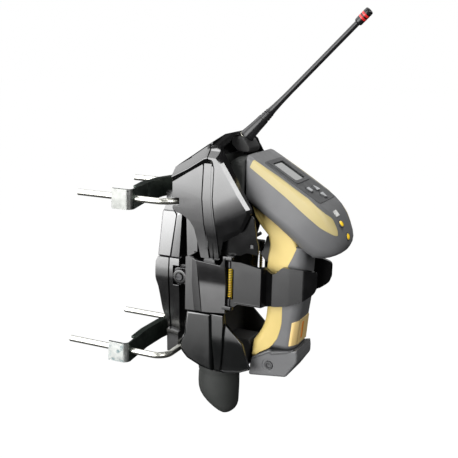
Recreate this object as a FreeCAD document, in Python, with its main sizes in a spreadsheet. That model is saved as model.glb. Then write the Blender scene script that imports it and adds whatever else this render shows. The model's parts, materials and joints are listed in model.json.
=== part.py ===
import FreeCAD, Part
import math
import os
import Sketcher
from FreeCAD import Placement, Rotation, Vector as V

# Pole-mounted charging cradle with a docked hand-held reader.
# Millimetres. Origin: on the pole's axis, midway between the two U-bolts.
# +X runs from the pole towards the reader, +Z up along the pole, symmetric about Y = 0.

os.makedirs("parts", exist_ok=True)
doc = FreeCAD.newDocument("pole_cradle")
sheet = doc.addObject("Spreadsheet::Sheet", "dims")
VAL = {}


def dim(alias, value):
    row = len(VAL) + 1
    sheet.set("A%d" % row, alias)
    sheet.set("B%d" % row, str(value))
    sheet.setAlias("B%d" % row, alias)
    VAL[alias] = value


for alias, value in (
    ("pole_rad", 16.7), ("bolt_z", 75.0), ("leg_y", 51.65), ("rod_rad", 3.0), ("bend_rad", 13.0),
    ("upper_bar_x", 32.6), ("upper_end_x", -72.1), ("lower_bar_x", 23.4), ("lower_end_x", -84.4),
    ("strap_half_height", 9.5), ("leg_hole_rad", 3.3), ("nut_height", 5.0), ("washer_rad", 6.0),
    ("washer_thick", 1.2), ("bracket_half", 22.0), ("boss_half", 12.0), ("pivot_x", 23.5),
    ("pivot_z", -3.0), ("pivot_rad", 4.0), ("ear_rad", 8.0), ("ear_in", 12.3), ("ear_out", 19.0),
    ("head_half", 49.0), ("head_cavity_half", 46.5), ("hood_half", 47.0), ("hood_cavity_half", 43.6),
    ("bulkhead_half", 43.0), ("collar_half", 40.0), ("collar_cavity_half", 37.2), ("neck_half", 36.5),
    ("lower_half", 37.0), ("lower_cavity_half", 34.5), ("cup_half", 33.0), ("cup_cavity_half", 30.0),
    ("floor_half", 30.2), ("hinge_x", 83.0), ("hinge_y", 36.0), ("pin_rad", 1.2), ("knuckle_rad", 3.1),
    ("boot_rad", 20.6), ("boot_wall", 3.0), ("reader_half", 30.0), ("reader_wall", 2.4),
    ("handle_half", 19.5), ("overmould_half", 19.5), ("trigger_half", 8.0), ("trigger_slot_half", 8.4),
    ("foot_half", 20.0), ("bumper_half", 28.0), ("window_half", 21.0), ("cover_half", 22.0),
    ("cover_thick", 2.5), ("reader_tilt", 30.5), ("antenna_tilt", 44.0), ("whip_rad", 2.8),
    ("antenna_length", 161.0), ("spine_half", 19.0),
):
    dim(alias, value)
doc.recompute()

NODES = []


def body(label):
    b = doc.addObject("PartDesign::Body", label)
    b.Label = label
    NODES.append(b)
    return b


def origin_plane(b, role):
    return [o for o in b.Origin.OriginFeatures if o.Role == role][0]


def outline(s, pts, closed=True):
    """Lines between the points; a point's third number rounds its corner."""
    n = len(pts)
    starts, ends, arcs = [None] * n, [None] * n, []
    for i, p in enumerate(pts):
        c = V(p[0], p[1], 0)
        r = p[2] if len(p) > 2 else 0
        inner = closed or 0 < i < n - 1
        if not r or not inner:
            starts[i] = ends[i] = c
            continue
        a = V(*pts[i - 1][:2], 0) - c
        b = V(*pts[(i + 1) % n][:2], 0) - c
        a.normalize(); b.normalize()
        half = a.getAngle(b) / 2
        t = r / math.tan(half)
        mid = (a + b); mid.normalize()
        centre = c + mid * (r / math.sin(half))
        ends[i], starts[i] = c + a * t, c + b * t
        arcs.append((ends[i], centre - mid * r, starts[i]))
    for i in range(n if closed else n - 1):
        s.addGeometry(Part.LineSegment(starts[i], ends[(i + 1) % n]), False)
    for a, m, b in arcs:
        s.addGeometry(Part.Arc(a, m, b), False)


def sketch(b, role, shape, at="0"):
    """shape: a list of points, or ("circle", x, y, radius expression)."""
    s = b.newObject("Sketcher::SketchObject", b.Name + "_sketch")
    s.AttachmentSupport = [(origin_plane(b, role), "")]
    s.MapMode = "FlatFace"
    sign = "-" if role == "XZ_Plane" else ""
    if at != "0":
        s.setExpression("AttachmentOffset.Base.z", "%s(%s)" % (sign, at))
    if shape[0] == "circle":
        s.addGeometry(Part.Circle(V(shape[1], shape[2], 0), V(0, 0, 1), 1.0), False)
        k = s.addConstraint(Sketcher.Constraint("Radius", 0, 1.0))
        s.setExpression("Constraints[%d]" % k, shape[3])
    else:
        outline(s, shape)
    return s


def slab(b, role, shape, lo, hi, cut=False):
    """Pad or pocket of the shape from lo to hi along the plane's world axis."""
    s = sketch(b, role, shape, "((%s)+(%s))/2" % (lo, hi))
    f = b.newObject("PartDesign::Pocket" if cut else "PartDesign::Pad", b.Name + ("_cut" if cut else "_pad"))
    f.Profile = s
    f.SideType = "Symmetric"
    f.setExpression("Length", "(%s)-(%s)" % (hi, lo))
    return f


XY, XZ, YZ = "XY_Plane", "XZ_Plane", "YZ_Plane"


def both(half):
    return "-dims.%s" % half, "dims.%s" % half


def cyl(label, rad, lo, hi, at, axis, keep=True):
    """Round bar from lo to hi (expressions) along a world axis through the point at."""
    c = doc.addObject("Part::Cylinder", label)
    c.Label = label
    c.setExpression("Radius", rad)
    c.setExpression("Height", "(%s)-(%s)" % (hi, lo))
    start = sheet_value(lo)
    if axis == "X":
        c.Placement = Placement(V(start, at[0], at[1]), Rotation(V(0, 1, 0), 90))
    elif axis == "Y":
        c.Placement = Placement(V(at[0], start, at[1]), Rotation(V(1, 0, 0), -90))
    else:
        c.Placement = Placement(V(at[0], at[1], start), Rotation())
    if keep:
        NODES.append(c)
    return c


def sheet_value(expr):
    text = expr
    for alias in sorted(VAL, key=len, reverse=True):
        text = text.replace("dims." + alias, repr(VAL[alias]))
    total = 0.0
    for term in text.replace("--", "+").replace("+-", "-").replace("-", "+-").split("+"):
        if term.strip():
            total += float(term)
    return total


def cut(label, base, tools):
    tool = tools[0]
    if len(tools) > 1:
        tool = doc.addObject("Part::MultiFuse", label + "_tools")
        tool.Shapes = tools
    c = doc.addObject("Part::Cut", label)
    c.Label = label
    c.Base, c.Tool = base, tool
    NODES.append(c)
    return c


def group(label, items):
    """Several identical separate solids in one node."""
    g = doc.addObject("Part::Compound", label)
    g.Label = label
    g.Links = items
    NODES.append(g)
    return g


PX, PZ = VAL["pivot_x"], VAL["pivot_z"]

# ---------------------------------------------------------------- pole bracket
b = body("bracket_upper")
slab(b, XZ, [(-1.2, 15.2), (22, 15.2), (24.6, 54, 6), (24.9, 64.5), (29.4, 68.5, 1.5), (29.4, 79.6, 2),
             (6.2, 79.6, 2), (6.1, 67.2, 8), (2.6, 58.4, 20)], *both("bracket_half"))
pole = [(-12, -16.7), (0, -16.7), (11.8087, -11.8087), (16.7, 0)]


def pole_slot(b, lo, hi):
    s = b.newObject("Sketcher::SketchObject", b.Name + "_seat")
    s.AttachmentSupport = [(origin_plane(b, XY), "")]
    s.MapMode = "FlatFace"
    s.setExpression("AttachmentOffset.Base.z", "((%s)+(%s))/2" % (lo, hi))
    r = VAL["pole_rad"]
    s.addGeometry(Part.Arc(V(0, -r, 0), V(r, 0, 0), V(0, r, 0)), False)
    s.addGeometry(Part.LineSegment(V(0, r, 0), V(-14, r, 0)), False)
    s.addGeometry(Part.LineSegment(V(-14, r, 0), V(-14, -r, 0)), False)
    s.addGeometry(Part.LineSegment(V(-14, -r, 0), V(0, -r, 0)), False)
    f = b.newObject("PartDesign::Pocket", b.Name + "_seat_cut")
    f.Profile = s
    f.SideType = "Symmetric"
    f.setExpression("Length", "(%s)-(%s)" % (hi, lo))


pole_slot(b, "0", "dims.bolt_z+20")

b = body("bracket_lower")
slab(b, XZ, [(-1.3, 14.6), (-3.7, 9.2, 6), (-4.2, -8.5, 20), (-1.7, -15.9, 20), (2, -39.8, 30), (5.8, -50.5, 5),
             (7.3, -54.2, 5), (7.9, -82.3), (20.3, -82.3, 2), (20.3, -64), (21.4, -20), (21.4, -12.6),
             (14.6, -12.6), (14.6, 6.6), (22, 6.6), (22, 14.6)], *both("bracket_half"))
slab(b, XZ, [(8, -12.5), (PX + 2, -12.5), (PX + 8.6, -8.5, 5), (PX + 8.6, 2.5, 5), (PX + 2, 6.5), (8, 6.5)], *both("boss_half"))
pole_slot(b, "-dims.bolt_z-20", "20")
slab(b, XZ, ("circle", PX, PZ, "dims.pivot_rad+0.02"), "-dims.boss_half-1", "dims.boss_half+1", cut=True)

for name in ("upper", "lower"):
    z = "dims.bolt_z" if name == "upper" else "-dims.bolt_z"
    bar, end = VAL[name + "_bar_x"], VAL[name + "_end_x"]
    b = body("u_bolt_" + name)
    path = b.newObject("Sketcher::SketchObject", "path_" + name)
    path.AttachmentSupport = [(origin_plane(b, XY), "")]
    path.MapMode = "FlatFace"
    path.setExpression("AttachmentOffset.Base.z", z)
    L, R = VAL["leg_y"], VAL["bend_rad"]
    q = R * (1 - math.sqrt(0.5))
    path.addGeometry(Part.LineSegment(V(end, -L, 0), V(bar - R, -L, 0)), False)
    path.addGeometry(Part.Arc(V(bar - R, -L, 0), V(bar - q, -L + q, 0), V(bar, -L + R, 0)), False)
    path.addGeometry(Part.LineSegment(V(bar, -L + R, 0), V(bar, L - R, 0)), False)
    path.addGeometry(Part.Arc(V(bar, L - R, 0), V(bar - q, L - q, 0), V(bar - R, L, 0)), False)
    path.addGeometry(Part.LineSegment(V(bar - R, L, 0), V(end, L, 0)), False)
    ring = sketch(b, YZ, ("circle", -L, VAL["bolt_z"] * (1 if name == "upper" else -1), "dims.rod_rad"), "dims.%s_end_x" % name)
    pipe = b.newObject("PartDesign::AdditivePipe", "rod_" + name)
    pipe.Profile = ring
    pipe.Spine = (path, ["Edge1", "Edge2", "Edge3", "Edge4", "Edge5"])

nuts, washers = [], []
for name, lug in (("upper", -7.0), ("lower", -12.0)):
    zc = VAL["bolt_z"] * (1 if name == "upper" else -1)
    b = body("strap_" + name)
    k = (60.5 - 16) / (-18.05 - lug)
    t = 1.25
    n = math.hypot(1, k)
    # outer (pole side) line and inner line of one arm, offset by the sheet's half thickness
    ox, oy = t * k / n, t / n
    face = []
    prof = [(lug - 21, -61.75, 0), (lug + 0.9, -61.75, 6.2), (-16.8, -15, 12), (-16.8, 15, 12), (lug + 0.9, 61.75, 6.2),
            (lug - 21, 61.75, 0), (lug - 21, 59.25, 0), (lug - 1.5, 59.25, 3.7), (-19.3, 15.6, 14), (-19.3, -15.6, 14),
            (lug - 1.5, -59.25, 3.7), (lug - 21, -59.25, 0)]
    lo, hi = "%s-dims.strap_half_height" % ("dims.bolt_z" if zc > 0 else "-dims.bolt_z"), "%s+dims.strap_half_height" % ("dims.bolt_z" if zc > 0 else "-dims.bolt_z")
    slab(b, XY, prof, lo, hi)
    # stiffening flange along the top of the middle of the strap
    x1 = -19.0 + (lug + 17.5) * (40 - 15.6) / (59.25 - 15.6)
    slab(b, XY, [(x1, -40), (-18.9, -15.6), (-18.9, 15.6), (x1, 40), (x1 - 5, 40), (-24, 15.6), (-24, -15.6), (x1 - 5, -40)],
         hi + "-2.2", hi)
    slab(b, YZ, ("circle", -VAL["leg_y"], zc, "dims.leg_hole_rad"), "-40", "5", cut=True)
    slab(b, YZ, ("circle", VAL["leg_y"], zc, "dims.leg_hole_rad"), "-40", "5", cut=True)
    arm_x = lug - 1.5 + (-19.3 - (lug - 1.5)) * (59.25 - VAL["leg_y"]) / (59.25 - 15.6)
    slope = (-8.5 - (lug - 1.5) - 10.8) / (59.25 - 15.6)
    xw = arm_x + slope * 6.1 - 0.05
    for side in (-1, 1):
        y = side * VAL["leg_y"]
        o = cyl("w_o", "dims.washer_rad", repr(xw - 1.2), repr(xw), (y, zc), "X", False)
        i = cyl("w_i", "dims.rod_rad+0.05", repr(xw - 2), repr(xw + 1), (y, zc), "X", False)
        w = doc.addObject("Part::Cut", "washer"); w.Base, w.Tool = o, i
        washers.append(w)
        hexa = doc.addObject("Part::Prism", "nut_hex")
        hexa.Polygon = 6
        hexa.Circumradius = 5.6
        hexa.setExpression("Height", "dims.nut_height")
        hexa.Placement = Placement(V(xw - 1.2 - VAL["nut_height"], y, zc), Rotation(V(0, 1, 0), 90))
        i2 = cyl("n_i", "dims.rod_rad+0.02", repr(xw - 8), repr(xw), (y, zc), "X", False)
        nn = doc.addObject("Part::Cut", "nut"); nn.Base, nn.Tool = hexa, i2
        nuts.append(nn)
group("u_bolt_washers", washers)
group("u_bolt_nuts", nuts)

cyl("tilt_bolt", "dims.pivot_rad", "-24.6", "24.6", (PX, PZ), "Y")
o = cyl("k_o", "7.5", "-23.4", "-19.3", (PX, PZ), "Y", False)
i = cyl("k_i", "dims.pivot_rad+0.02", "-24", "-19", (PX, PZ), "Y", False)
cut("tilt_knob", o, [i])
h = doc.addObject("Part::Prism", "tilt_hex")
h.Polygon = 6
h.Circumradius = 7.5
h.Height = 4.6
h.Placement = Placement(V(PX, 19.3, PZ), Rotation(V(1, 0, 0), -90))
i = cyl("tn_i", "dims.pivot_rad+0.02", "19", "24.4", (PX, PZ), "Y", False)
cut("tilt_nut", h, [i])

# ---------------------------------------------------------------- cradle
b = body("spine_frame")
slab(b, XZ, [(29.4, 17), (27.9, 56, 3), (29.5, 62), (40, 62), (40, 23.2), (36.9, 23.2), (36.9, -28), (33, -28), (33, -13.6), (29.6, -13.6),
             (29.6, 17)], *both("spine_half"))
slab(b, XZ, [(29, -13.6), (33.2, -13.6), (33.2, 7.6), (29, 7.6)], "-dims.ear_in", "dims.ear_in", cut=True)
for lo, hi in (("-dims.ear_out", "-dims.ear_in"), ("dims.ear_in", "dims.ear_out")):
    slab(b, XZ, [(31, PZ - 8), (PX, PZ - 8), (PX - 8, PZ - 7.99, 7.9), (PX - 8, PZ + 7.99, 7.9), (PX, PZ + 8), (31, PZ + 8)], lo, hi)
slab(b, XZ, ("circle", PX, PZ, "dims.pivot_rad+0.06"), "-dims.ear_out-1", "dims.ear_out+1", cut=True)

b = body("head_rear_shell")
slab(b, XZ, [(27.2, 67.5), (28.2, 106.5), (41, 118.2, 8), (60, 133.5, 10), (67.3, 138), (67.3, 24.6), (55.4, 24.6),
             (53.8, 31.3, 20), (48.9, 52.1, 14), (44.4, 58.8, 8), (37.6, 63, 8), (28.6, 66.4, 1)], *both("head_half"))
slab(b, XZ, [(42.6, 70), (42.6, 116), (60.8, 130.6, 8), (70, 136.2), (70, 27.2), (57.6, 27.2), (56.2, 32, 18), (51.4, 53.4, 12), (46.5, 61.5, 6), (42.6, 64.5)],
     *both("head_cavity_half"), cut=True)
slab(b, XZ, [(20, 70.4), (39.3, 70.4), (39.3, 79.8), (20, 79.8)], "-dims.head_half-5", "dims.head_half+5", cut=True)
slab(b, XZ, [(20, 50), (33.2, 50), (33.2, 84.5), (20, 84.5)], "-dims.bracket_half-2", "dims.bracket_half+2", cut=True)
slab(b, XZ, [(20, 50), (40.2, 50), (40.2, 62.2), (20, 62.2)], "-dims.spine_half-0.2", "dims.spine_half+0.2", cut=True)
slab(b, XZ, [(56.5, 24.7), (67.3, 24.7), (67.3, 10), (53, 10), (54.6, 20)], "-dims.neck_half", "dims.neck_half")

b = HOOD = body("head_front_hood")
slab(b, XZ, [(67.9, 24.6), (67.9, 138.4), (74.6, 138.9, 2), (77.6, 132.5, 1), (75.2, 124), (104.4, 75.4, 3), (105, 71, 3), (95.9, 52.8, 6), (77.4, 41.8, 3), (74.4, 24.6)],
     *both("hood_half"))
slab(b, XZ, [(60, 31.2), (60, 134.9), (90, 136.8), (120, 100), (120, 31.2)], *both("hood_cavity_half"), cut=True)
slab(b, XZ, [(67.9, 27.4), (74.6, 28), (85.3, 35.5, 1), (83.7, 38.4, 1), (73.5, 31.3), (67.9, 31.3)], "-dims.hood_cavity_half-0.1", "dims.hood_cavity_half+0.1")

b = body("inner_bulkhead")
slab(b, XZ, [(60.4, 33.5), (60.4, 129), (62.8, 130), (62.8, 33.5)], *both("bulkhead_half"))
b = body("nose_pad")
slab(b, XZ, [(62.8, 86, 1), (62.8, 118, 1), (66.6, 118, 1.5), (66.6, 86, 1.5)], "-24", "24")
b = body("main_board")
slab(b, XZ, [(52.6, 60), (52.6, 116), (54.2, 116), (54.2, 60)], "-40", "40")
b = body("radio_module")
slab(b, XZ, [(54.2, 92), (54.2, 112), (57.8, 112), (57.8, 92)], "-14", "14")


b = body("collar_housing")
slab(b, XZ, [(37.3, -29), (37.3, 22.6, 1), (41.1, 23.4, 1), (49.8, 20.3), (73.9, 18.5), (79.3, 27.6, 1), (79.6, -26.6), (64.5, -28.2)],
     *both("collar_half"))
slab(b, XY, [(40, -37.2), (76.2, -37.2), (76.2, 37.2), (40, 37.2)], "-40", "40", cut=True)
slab(b, XZ, [(70, 24.9), (90, 24.9), (90, 30), (70, 30)], "-30", "30", cut=True)
for side in (-1, 1):
    lug = [(76.3, side * 39.6), (76.3, side * 31), (82, side * 31, 0), (86.4, side * 33, 2), (86.4, side * 39.4, 2)]
    slab(b, XY, lug, "24.9", "28.3")
    slab(b, XY, lug, "-22.4", "-18.9")
    slab(b, XY, ("circle", VAL["hinge_x"], side * VAL["hinge_y"], "dims.pin_rad+0.02"), "-24", "30", cut=True)

b = body("lower_rear_shell")
slab(b, XZ, [(38.2, -29.6), (35.3, -53.8, 10), (31, -62.6, 6), (32.2, -71.6, 6), (38.9, -78.5, 8), (53.3, -84.4), (66.2, -87.2), (64.4, -29.6)],
     *both("lower_half"))
slab(b, XZ, [(41, -32.2), (38.2, -55), (34.6, -63), (35.4, -70.2), (41, -76), (54, -81.6), (75, -85), (75, -32.2)], *both("lower_cavity_half"), cut=True)

b = body("lower_front_cup")
slab(b, XZ, [(64.9, -29.6), (66.8, -87.4), (76.2, -87.8), (93.3, -84.3), (103.3, -79.8, 1.5), (97.6, -65.1, 4), (94.9, -55.9, 4), (77.2, -38.8, 3), (76, -29.6)],
     *both("cup_half"))
slab(b, XZ, [(69.4, -31), (69.6, -95), (120, -95), (120, -25), (82, -25), (76.2, -28.2)], *both("cup_cavity_half"), cut=True)
slab(b, XZ, [(69, -87.6), (76.2, -87.8), (92.3, -84.6), (92.3, -82), (69, -85)], *both("floor_half"))

b = body("contact_block")
slab(b, XZ, [(69.8, -80), (69.8, -58), (93, -58, 2), (95.4, -61, 1), (95.4, -77, 1), (93, -80, 2)], "-13", "13")
pins = []
for y in (-7.5, -2.5, 2.5, 7.5):
    pins.append(cyl("contact", "0.9", "95.4", "97.2", (y, -68), "X", False))
group("contact_pins", pins)
b = body("power_board")
slab(b, XZ, [(50, -76), (50, -36), (51.6, -36), (51.6, -76)], "-31", "31")
b = body("cable_socket")
slab(b, XZ, [(51.6, -76), (51.6, -62), (64, -62), (64, -76)], "-8", "8")

pins = []
for side in (-1, 1):
    pins.append(cyl("jaw_pin", "dims.pin_rad", "-22.4", "28.3", (VAL["hinge_x"], side * VAL["hinge_y"]), "Z", False))
group("jaw_hinge_pins", pins)

# ---------------------------------------------------------------- sprung jaws
for name, side in (("near", -1), ("far", 1)):
    b = body("jaw_" + name)
    hx, hy = VAL["hinge_x"], VAL["hinge_y"]
    top, bot = (24.3, -18.3)
    f = side
    plan = [(84.6, 34.6), (88, 35.2), (111.4, 34.8, 2), (113.6, 28.4, 2), (119, 24.9, 4), (134, 24.4, 60), (149, 23.0, 30), (160.6, 19.9, 0),
            (162, 21.8, 1), (151.5, 27.0, 14), (136, 28.6, 40), (120.5, 28.4, 4), (116.4, 31.2, 2), (114.6, 38.2, 1.5), (88, 39.2), (84.6, 38.6)]
    plan = [((p[0], f * p[1]) + tuple(p[2:])) for p in plan]
    if f < 0:
        plan = plan[::-1]
    slab(b, XY, plan, "-18.3", "24.3")
    # blade outline: stepped top edge, rounded lower front corner, waist between the knuckles
    slab(b, XZ, [(88, 30), (88, 25.5), (115.5, 20.4), (121.3, 12.9, 6), (130.5, 22.3, 4), (137.6, 21.8), (151.8, 21.6), (161, 20.2, 3), (161.6, 7.4, 10), (158.6, -0.5, 10),
                 (150.4, -7.0, 10), (138.2, -12.7, 20), (123.8, -15.9, 20), (118, -15.6), (92, -15.4), (88, -30), (180, -30), (180, 30)], "-60", "60", cut=True)
    slab(b, XZ, [(80, -11.8), (87.6, -11.8), (87.6, 17.4), (80, 17.4)], "-60", "60", cut=True)
    for lo, hi in (("17.5", "24.3"), ("-18.3", "-11.9")):
        slab(b, XY, ("circle", hx, f * hy, "dims.knuckle_rad"), lo, hi)
        slab(b, XY, [(83.4, f * 34.0), (87, f * 34.9), (87, f * 38.9), (83.4, f * 38.8)][::f], lo, hi)
        slab(b, XY, ("circle", hx, f * hy, "dims.pin_rad+0.05"), lo + "-1", hi + "+1", cut=True)
for name, side in (("near", -1), ("far", 1)):
    y = side * VAL["hinge_y"]
    o = cyl("s_o", "2.7", "-11.6", "17.2", (VAL["hinge_x"], y), "Z", False)
    i = cyl("s_i", "1.5", "-12", "18", (VAL["hinge_x"], y), "Z", False)
    cut("jaw_spring_" + name, o, [i])

# ---------------------------------------------------------------- antenna
AX = math.radians(VAL["antenna_tilt"])
base = V(76.8, 0, 131.2)
place = Placement(base, Rotation(V(0, 1, 0), VAL["antenna_tilt"]))


def bore_along(b, pl, mid, length, rad):
    """Round pocket centred at mid along the placement's Z axis."""
    s = b.newObject("Sketcher::SketchObject", b.Name + "_bore")
    s.AttachmentSupport = [(origin_plane(b, XY), "")]
    s.MapMode = "FlatFace"
    s.AttachmentOffset = pl.multiply(Placement(V(0, 0, mid), Rotation()))
    s.addGeometry(Part.Circle(V(0, 0, 0), V(0, 0, 1), rad), False)
    f = b.newObject("PartDesign::Pocket", b.Name + "_bore_cut")
    f.Profile = s
    f.SideType = "Symmetric"
    f.Length = length
    return f


def turned(label, prof, pl):
    b = body(label)
    s = b.newObject("Sketcher::SketchObject", label + "_profile")
    s.AttachmentSupport = [(origin_plane(b, XZ), "")]
    s.MapMode = "FlatFace"
    outline(s, prof)
    r = b.newObject("PartDesign::Revolution", label + "_turn")
    r.Profile = s
    r.ReferenceAxis = (s, ["V_Axis"])
    r.Angle = 360
    b.Placement = pl
    return b


b = body("antenna_boss")
slab(b, XZ, [(76.3, 120.6, 3), (69, 127, 2), (68.2, 134.8), (76.4, 134.8, 2), (81.2, 134.2, 2), (84.8, 130.6, 2), (89, 124.5, 2), (88.6, 119.8, 3)], "-12.5", "12.5")
bore_along(b, place, 15.55, 30.0, 7.1)
bore_along(b, place, 5.0, 14.4, 4.45)
bore_along(HOOD, place, 15.5, 30.0, 7.3)
turned("antenna_socket", [(0, -2.2), (4.4, -2.2), (4.4, 0.6), (7.0, 0.6), (7.0, 3.6), (2.2, 3.6), (2.2, 8.6), (0, 8.6)], place)
turned("antenna_base", [(2.25, 3.9), (6.6, 3.9), (6.4, 6), (4.8, 28), (4.3, 30), (4.5, 30.4), (4.1, 32), (4.3, 32.4), (3.9, 34), (4.1, 34.4),
                        (3.6, 37), (2.9, 49), (0, 49), (0, 8.9), (2.25, 8.9)], place)
turned("antenna_whip", [(0, 49), (2.9, 49), (2.55, 60), (2.4, 143.5), (0, 143.5)], place)
turned("antenna_tip", [(0, 143.5), (4.0, 143.5), (4.7, 145), (4.7, 147.4), (4.1, 147.4), (4.1, 150), (4.7, 150), (4.7, 152.4), (4.1, 152.4), (4.1, 155), (4.7, 155),
                       (4.7, 159.6), (3.8, 161), (0, 161)], place)
b = turned("cable_boot", [(5.2, -141), (11.5, -140.8, 6), (17.4, -138.6, 6), (20.6, -132, 6), (20.6, -88.2), (17.6, -88.2), (17.6, -105), (5.2, -112)],
           Placement(V(57, 0, 0), Rotation()))
# the boot's lower rear corner slopes away; the cable hole ends in a flat spot face
slab(b, XZ, [(-30, -110), (-21.2, -116), (-15.8, -127.5, 10), (2.5, -140.6, 8), (6, -150), (-30, -150)], "-25", "25", cut=True)
slab(b, XY, ("circle", 0, 0, "6.6"), "-145", "-132", cut=True)
bands = []
for lo, hi in ((147.4, 150.0), (152.4, 155.0)):
    bb = doc.addObject("Part::Cylinder", "band_o"); bb.Radius = 4.75; bb.Height = hi - lo
    bi = doc.addObject("Part::Cylinder", "band_i"); bi.Radius = 4.1; bi.Height = hi - lo
    bc = doc.addObject("Part::Cut", "band"); bc.Base, bc.Tool = bb, bi
    bb.Placement = bi.Placement = place.multiply(Placement(V(0, 0, lo), Rotation()))
    bands.append(bc)
group("antenna_bands", bands)

# ---------------------------------------------------------------- reader
TH = math.radians(VAL["reader_tilt"])
top0 = V(111.3, 0, 111.5)
head = Placement(top0, Rotation(V(0, 1, 0), VAL["reader_tilt"]))


def loc(s, w):
    """Point of the reader's upper plane: s along it towards the tail, w outward."""
    return (top0.x + s * math.cos(TH) + w * math.sin(TH), top0.z - s * math.sin(TH) + w * math.cos(TH))


shell = [(92, 79.4), (92, 120.8, 3), loc(-6, 0.0), (158, 84.0, 16), (171, 73.0, 14), (178, 62.5, 12), (182.2, 54, 8), (183.5, 46, 6),
         (181, 40, 6), (176.5, 36.2, 6), (170, 33.4, 8), (161, 31.6, 6), (154.7, 31.0), (144.2, 40.6), (141.3, 38.9), (138.4, 45.0, 6), (132.8, 51.3, 6), (116.3, 62.3), (94.4, 79.2)]
hollow = [(95, 82.5), (95, 116), loc(-12, -2.45), loc(55.6, -2.45), (168.5, 72.5, 3), (175.5, 61.5), (180, 54), (181, 47), (178.8, 41.6), (174, 38.4),
          (166, 36.2), (157, 34.6), (148, 42.5), (141.4, 47.4), (134.6, 54), (117.8, 65.2)]
handle = [(151, 33.2), (145.6, 42.4), (141.3, 38.8), (134.1, 21.4, 20), (129.4, 5, 20), (128.8, -17), (129.5, -32.3, 20), (125.5, -49.1, 14), (117.2, -60.9),
          (119.2, -62.3), (134.4, -58.8), (140.6, -54.2), (143.2, -28.5, 60), (146.4, -12.6, 60)]
handle_hollow = [(146, 26), (140, 26), (132, 5), (131.4, -17), (132, -32.5), (128, -50), (124.5, -57.2), (134.4, -55.0), (138.0, -51.6), (140.5, -28.5), (143.7, -12.6)]
LABEL = [(143.3, -23.5), (145.2, -24.2), (142.8, -46.4), (140.9, -47.2)]
LAMPS = []
for at, towards in ((V(177.3, -12.0, 64.8), V(0.80, -0.12, 0.59)), (V(182.2, -6.0, 52.6), V(0.95, -0.10, 0.28))):
    LAMPS.append(Placement(at, Rotation(V(0, 0, 1), towards)))
for name, side in (("left", -1), ("right", 1)):
    b = body("reader_shell_" + name)
    lim = lambda h: ("-dims.%s" % h, "0") if side < 0 else ("0", "dims.%s" % h)
    slab(b, XZ, shell, *lim("reader_half"))
    slab(b, XZ, handle, *lim("handle_half"))
    lo, hi = lim("reader_half")
    slab(b, XZ, hollow, lo + ("+dims.reader_wall" if side < 0 else ""), hi + ("-dims.reader_wall" if side > 0 else ""), cut=True)
    lo, hi = lim("handle_half")
    slab(b, XZ, handle_hollow, lo + ("+dims.reader_wall" if side < 0 else ""), hi + ("-dims.reader_wall" if side > 0 else ""), cut=True)
    # seat for the top cover
    lo, hi = lim("cover_half")
    slab(b, XZ, [loc(-6.1, -2.5), loc(-6.1, 6), loc(57.1, 6), loc(57.1, -2.5)], lo + ("-0.1" if side < 0 else ""), hi + ("+0.1" if side > 0 else ""), cut=True)
    slab(b, XZ, LABEL, "-9", "9", cut=True)
    if side < 0:
        for pl in LAMPS:
            bore_along(b, pl, 0, 4.0, 2.85)
b = body("grip_overmould")
grip = [(92.6, 77.4), (94.3, 78.9), (116.2, 62.0), (132.6, 51.0, 6), (138.2, 44.7, 6), (140.9, 38.8), (133.8, 21.4, 20), (129.1, 5, 20), (128.5, -17), (129.2, -32.3, 20),
        (125.2, -48.9, 14), (116.6, -60.7), (99.6, -70.4), (98.0, -56.3, 4), (106.6, -43.3, 14), (110.1, -33.8, 14), (111.6, -20.8, 20), (112.6, -3, 20), (117.2, 9.0, 8), (111.4, 17.2, 4),
        (112.2, 28.2, 10), (113.5, 39.4, 6), (111.9, 47.4, 5), (104.7, 54.9, 6), (98.0, 63.8, 10)]
slab(b, XZ, grip, *both("overmould_half"))
slab(b, XZ, [(100, 14.5), (118.2, 14.5), (121, 30), (120, 50.4), (100, 50.4)], *both("trigger_slot_half"), cut=True)
b = body("trigger")
slab(b, XZ, [(105.6, 43.8, 3), (103.0, 33, 8), (99.8, 26.4, 2), (104.9, 20.4, 2), (110.6, 17.2, 2), (113.4, 22, 3), (115, 30), (117.6, 39.5, 2), (117.6, 46.4, 3.3), (111.0, 47.4, 3)],
     *both("trigger_half"))
slab(b, XZ, ("circle", 114.2, 43.2, "1.55"), "-12", "12", cut=True)
cyl("trigger_pin", "1.5", "-8.4", "8.4", (114.2, 43.2), "Y")
b = body("battery_foot")
slab(b, XZ, [(99.6, -71.1), (117.0, -61.3), (119.2, -62.8), (134.4, -59.2), (142.0, -54.6), (143.8, -54.6, 1), (144.6, -60, 6), (143.6, -67.3, 5), (131.4, -85.3, 5), (128.3, -86.8),
             (96.7, -90.1, 1.5), (98.2, -75, 2)], *both("foot_half"))
slab(b, XZ, ("circle", 117.0, -76.6, "4.2"), "-dims.foot_half-1", "-dims.foot_half+2.2", cut=True)
b = body("battery_cell")
slab(b, XZ, [(134, -48), (137.4, -46), (141.4, -12), (134, -12)], "-8.5", "8.5")
cyl("foot_screw", "4.1", "-dims.foot_half-0.4", "-dims.foot_half+2.2", (117.0, -76.6), "Y")

b = body("nose_bumper")
slab(b, XZ, [(92.0, 118.4), (92.0, 80.6), (88.0, 80.4, 3), (78.5, 90.0, 4), (72.4, 103.4, 5), (74.0, 112.4, 5), (80.5, 117.2, 4)], *both("bumper_half"))
b = body("scan_window")
slab(b, XZ, [(77.4, 90.2), (76.2, 89.6), (71.2, 100.6), (72.5, 101.1)], "-21", "21")
b = body("scan_engine")
slab(b, XZ, [(97, 84), (97, 110), (114, 101), (114, 76)], "-17", "17")
b = body("reader_board")
slab(b, XZ, [loc(14, -12), loc(54, -12), loc(54, -13.6), loc(14, -13.6)], "-24", "24")


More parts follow.
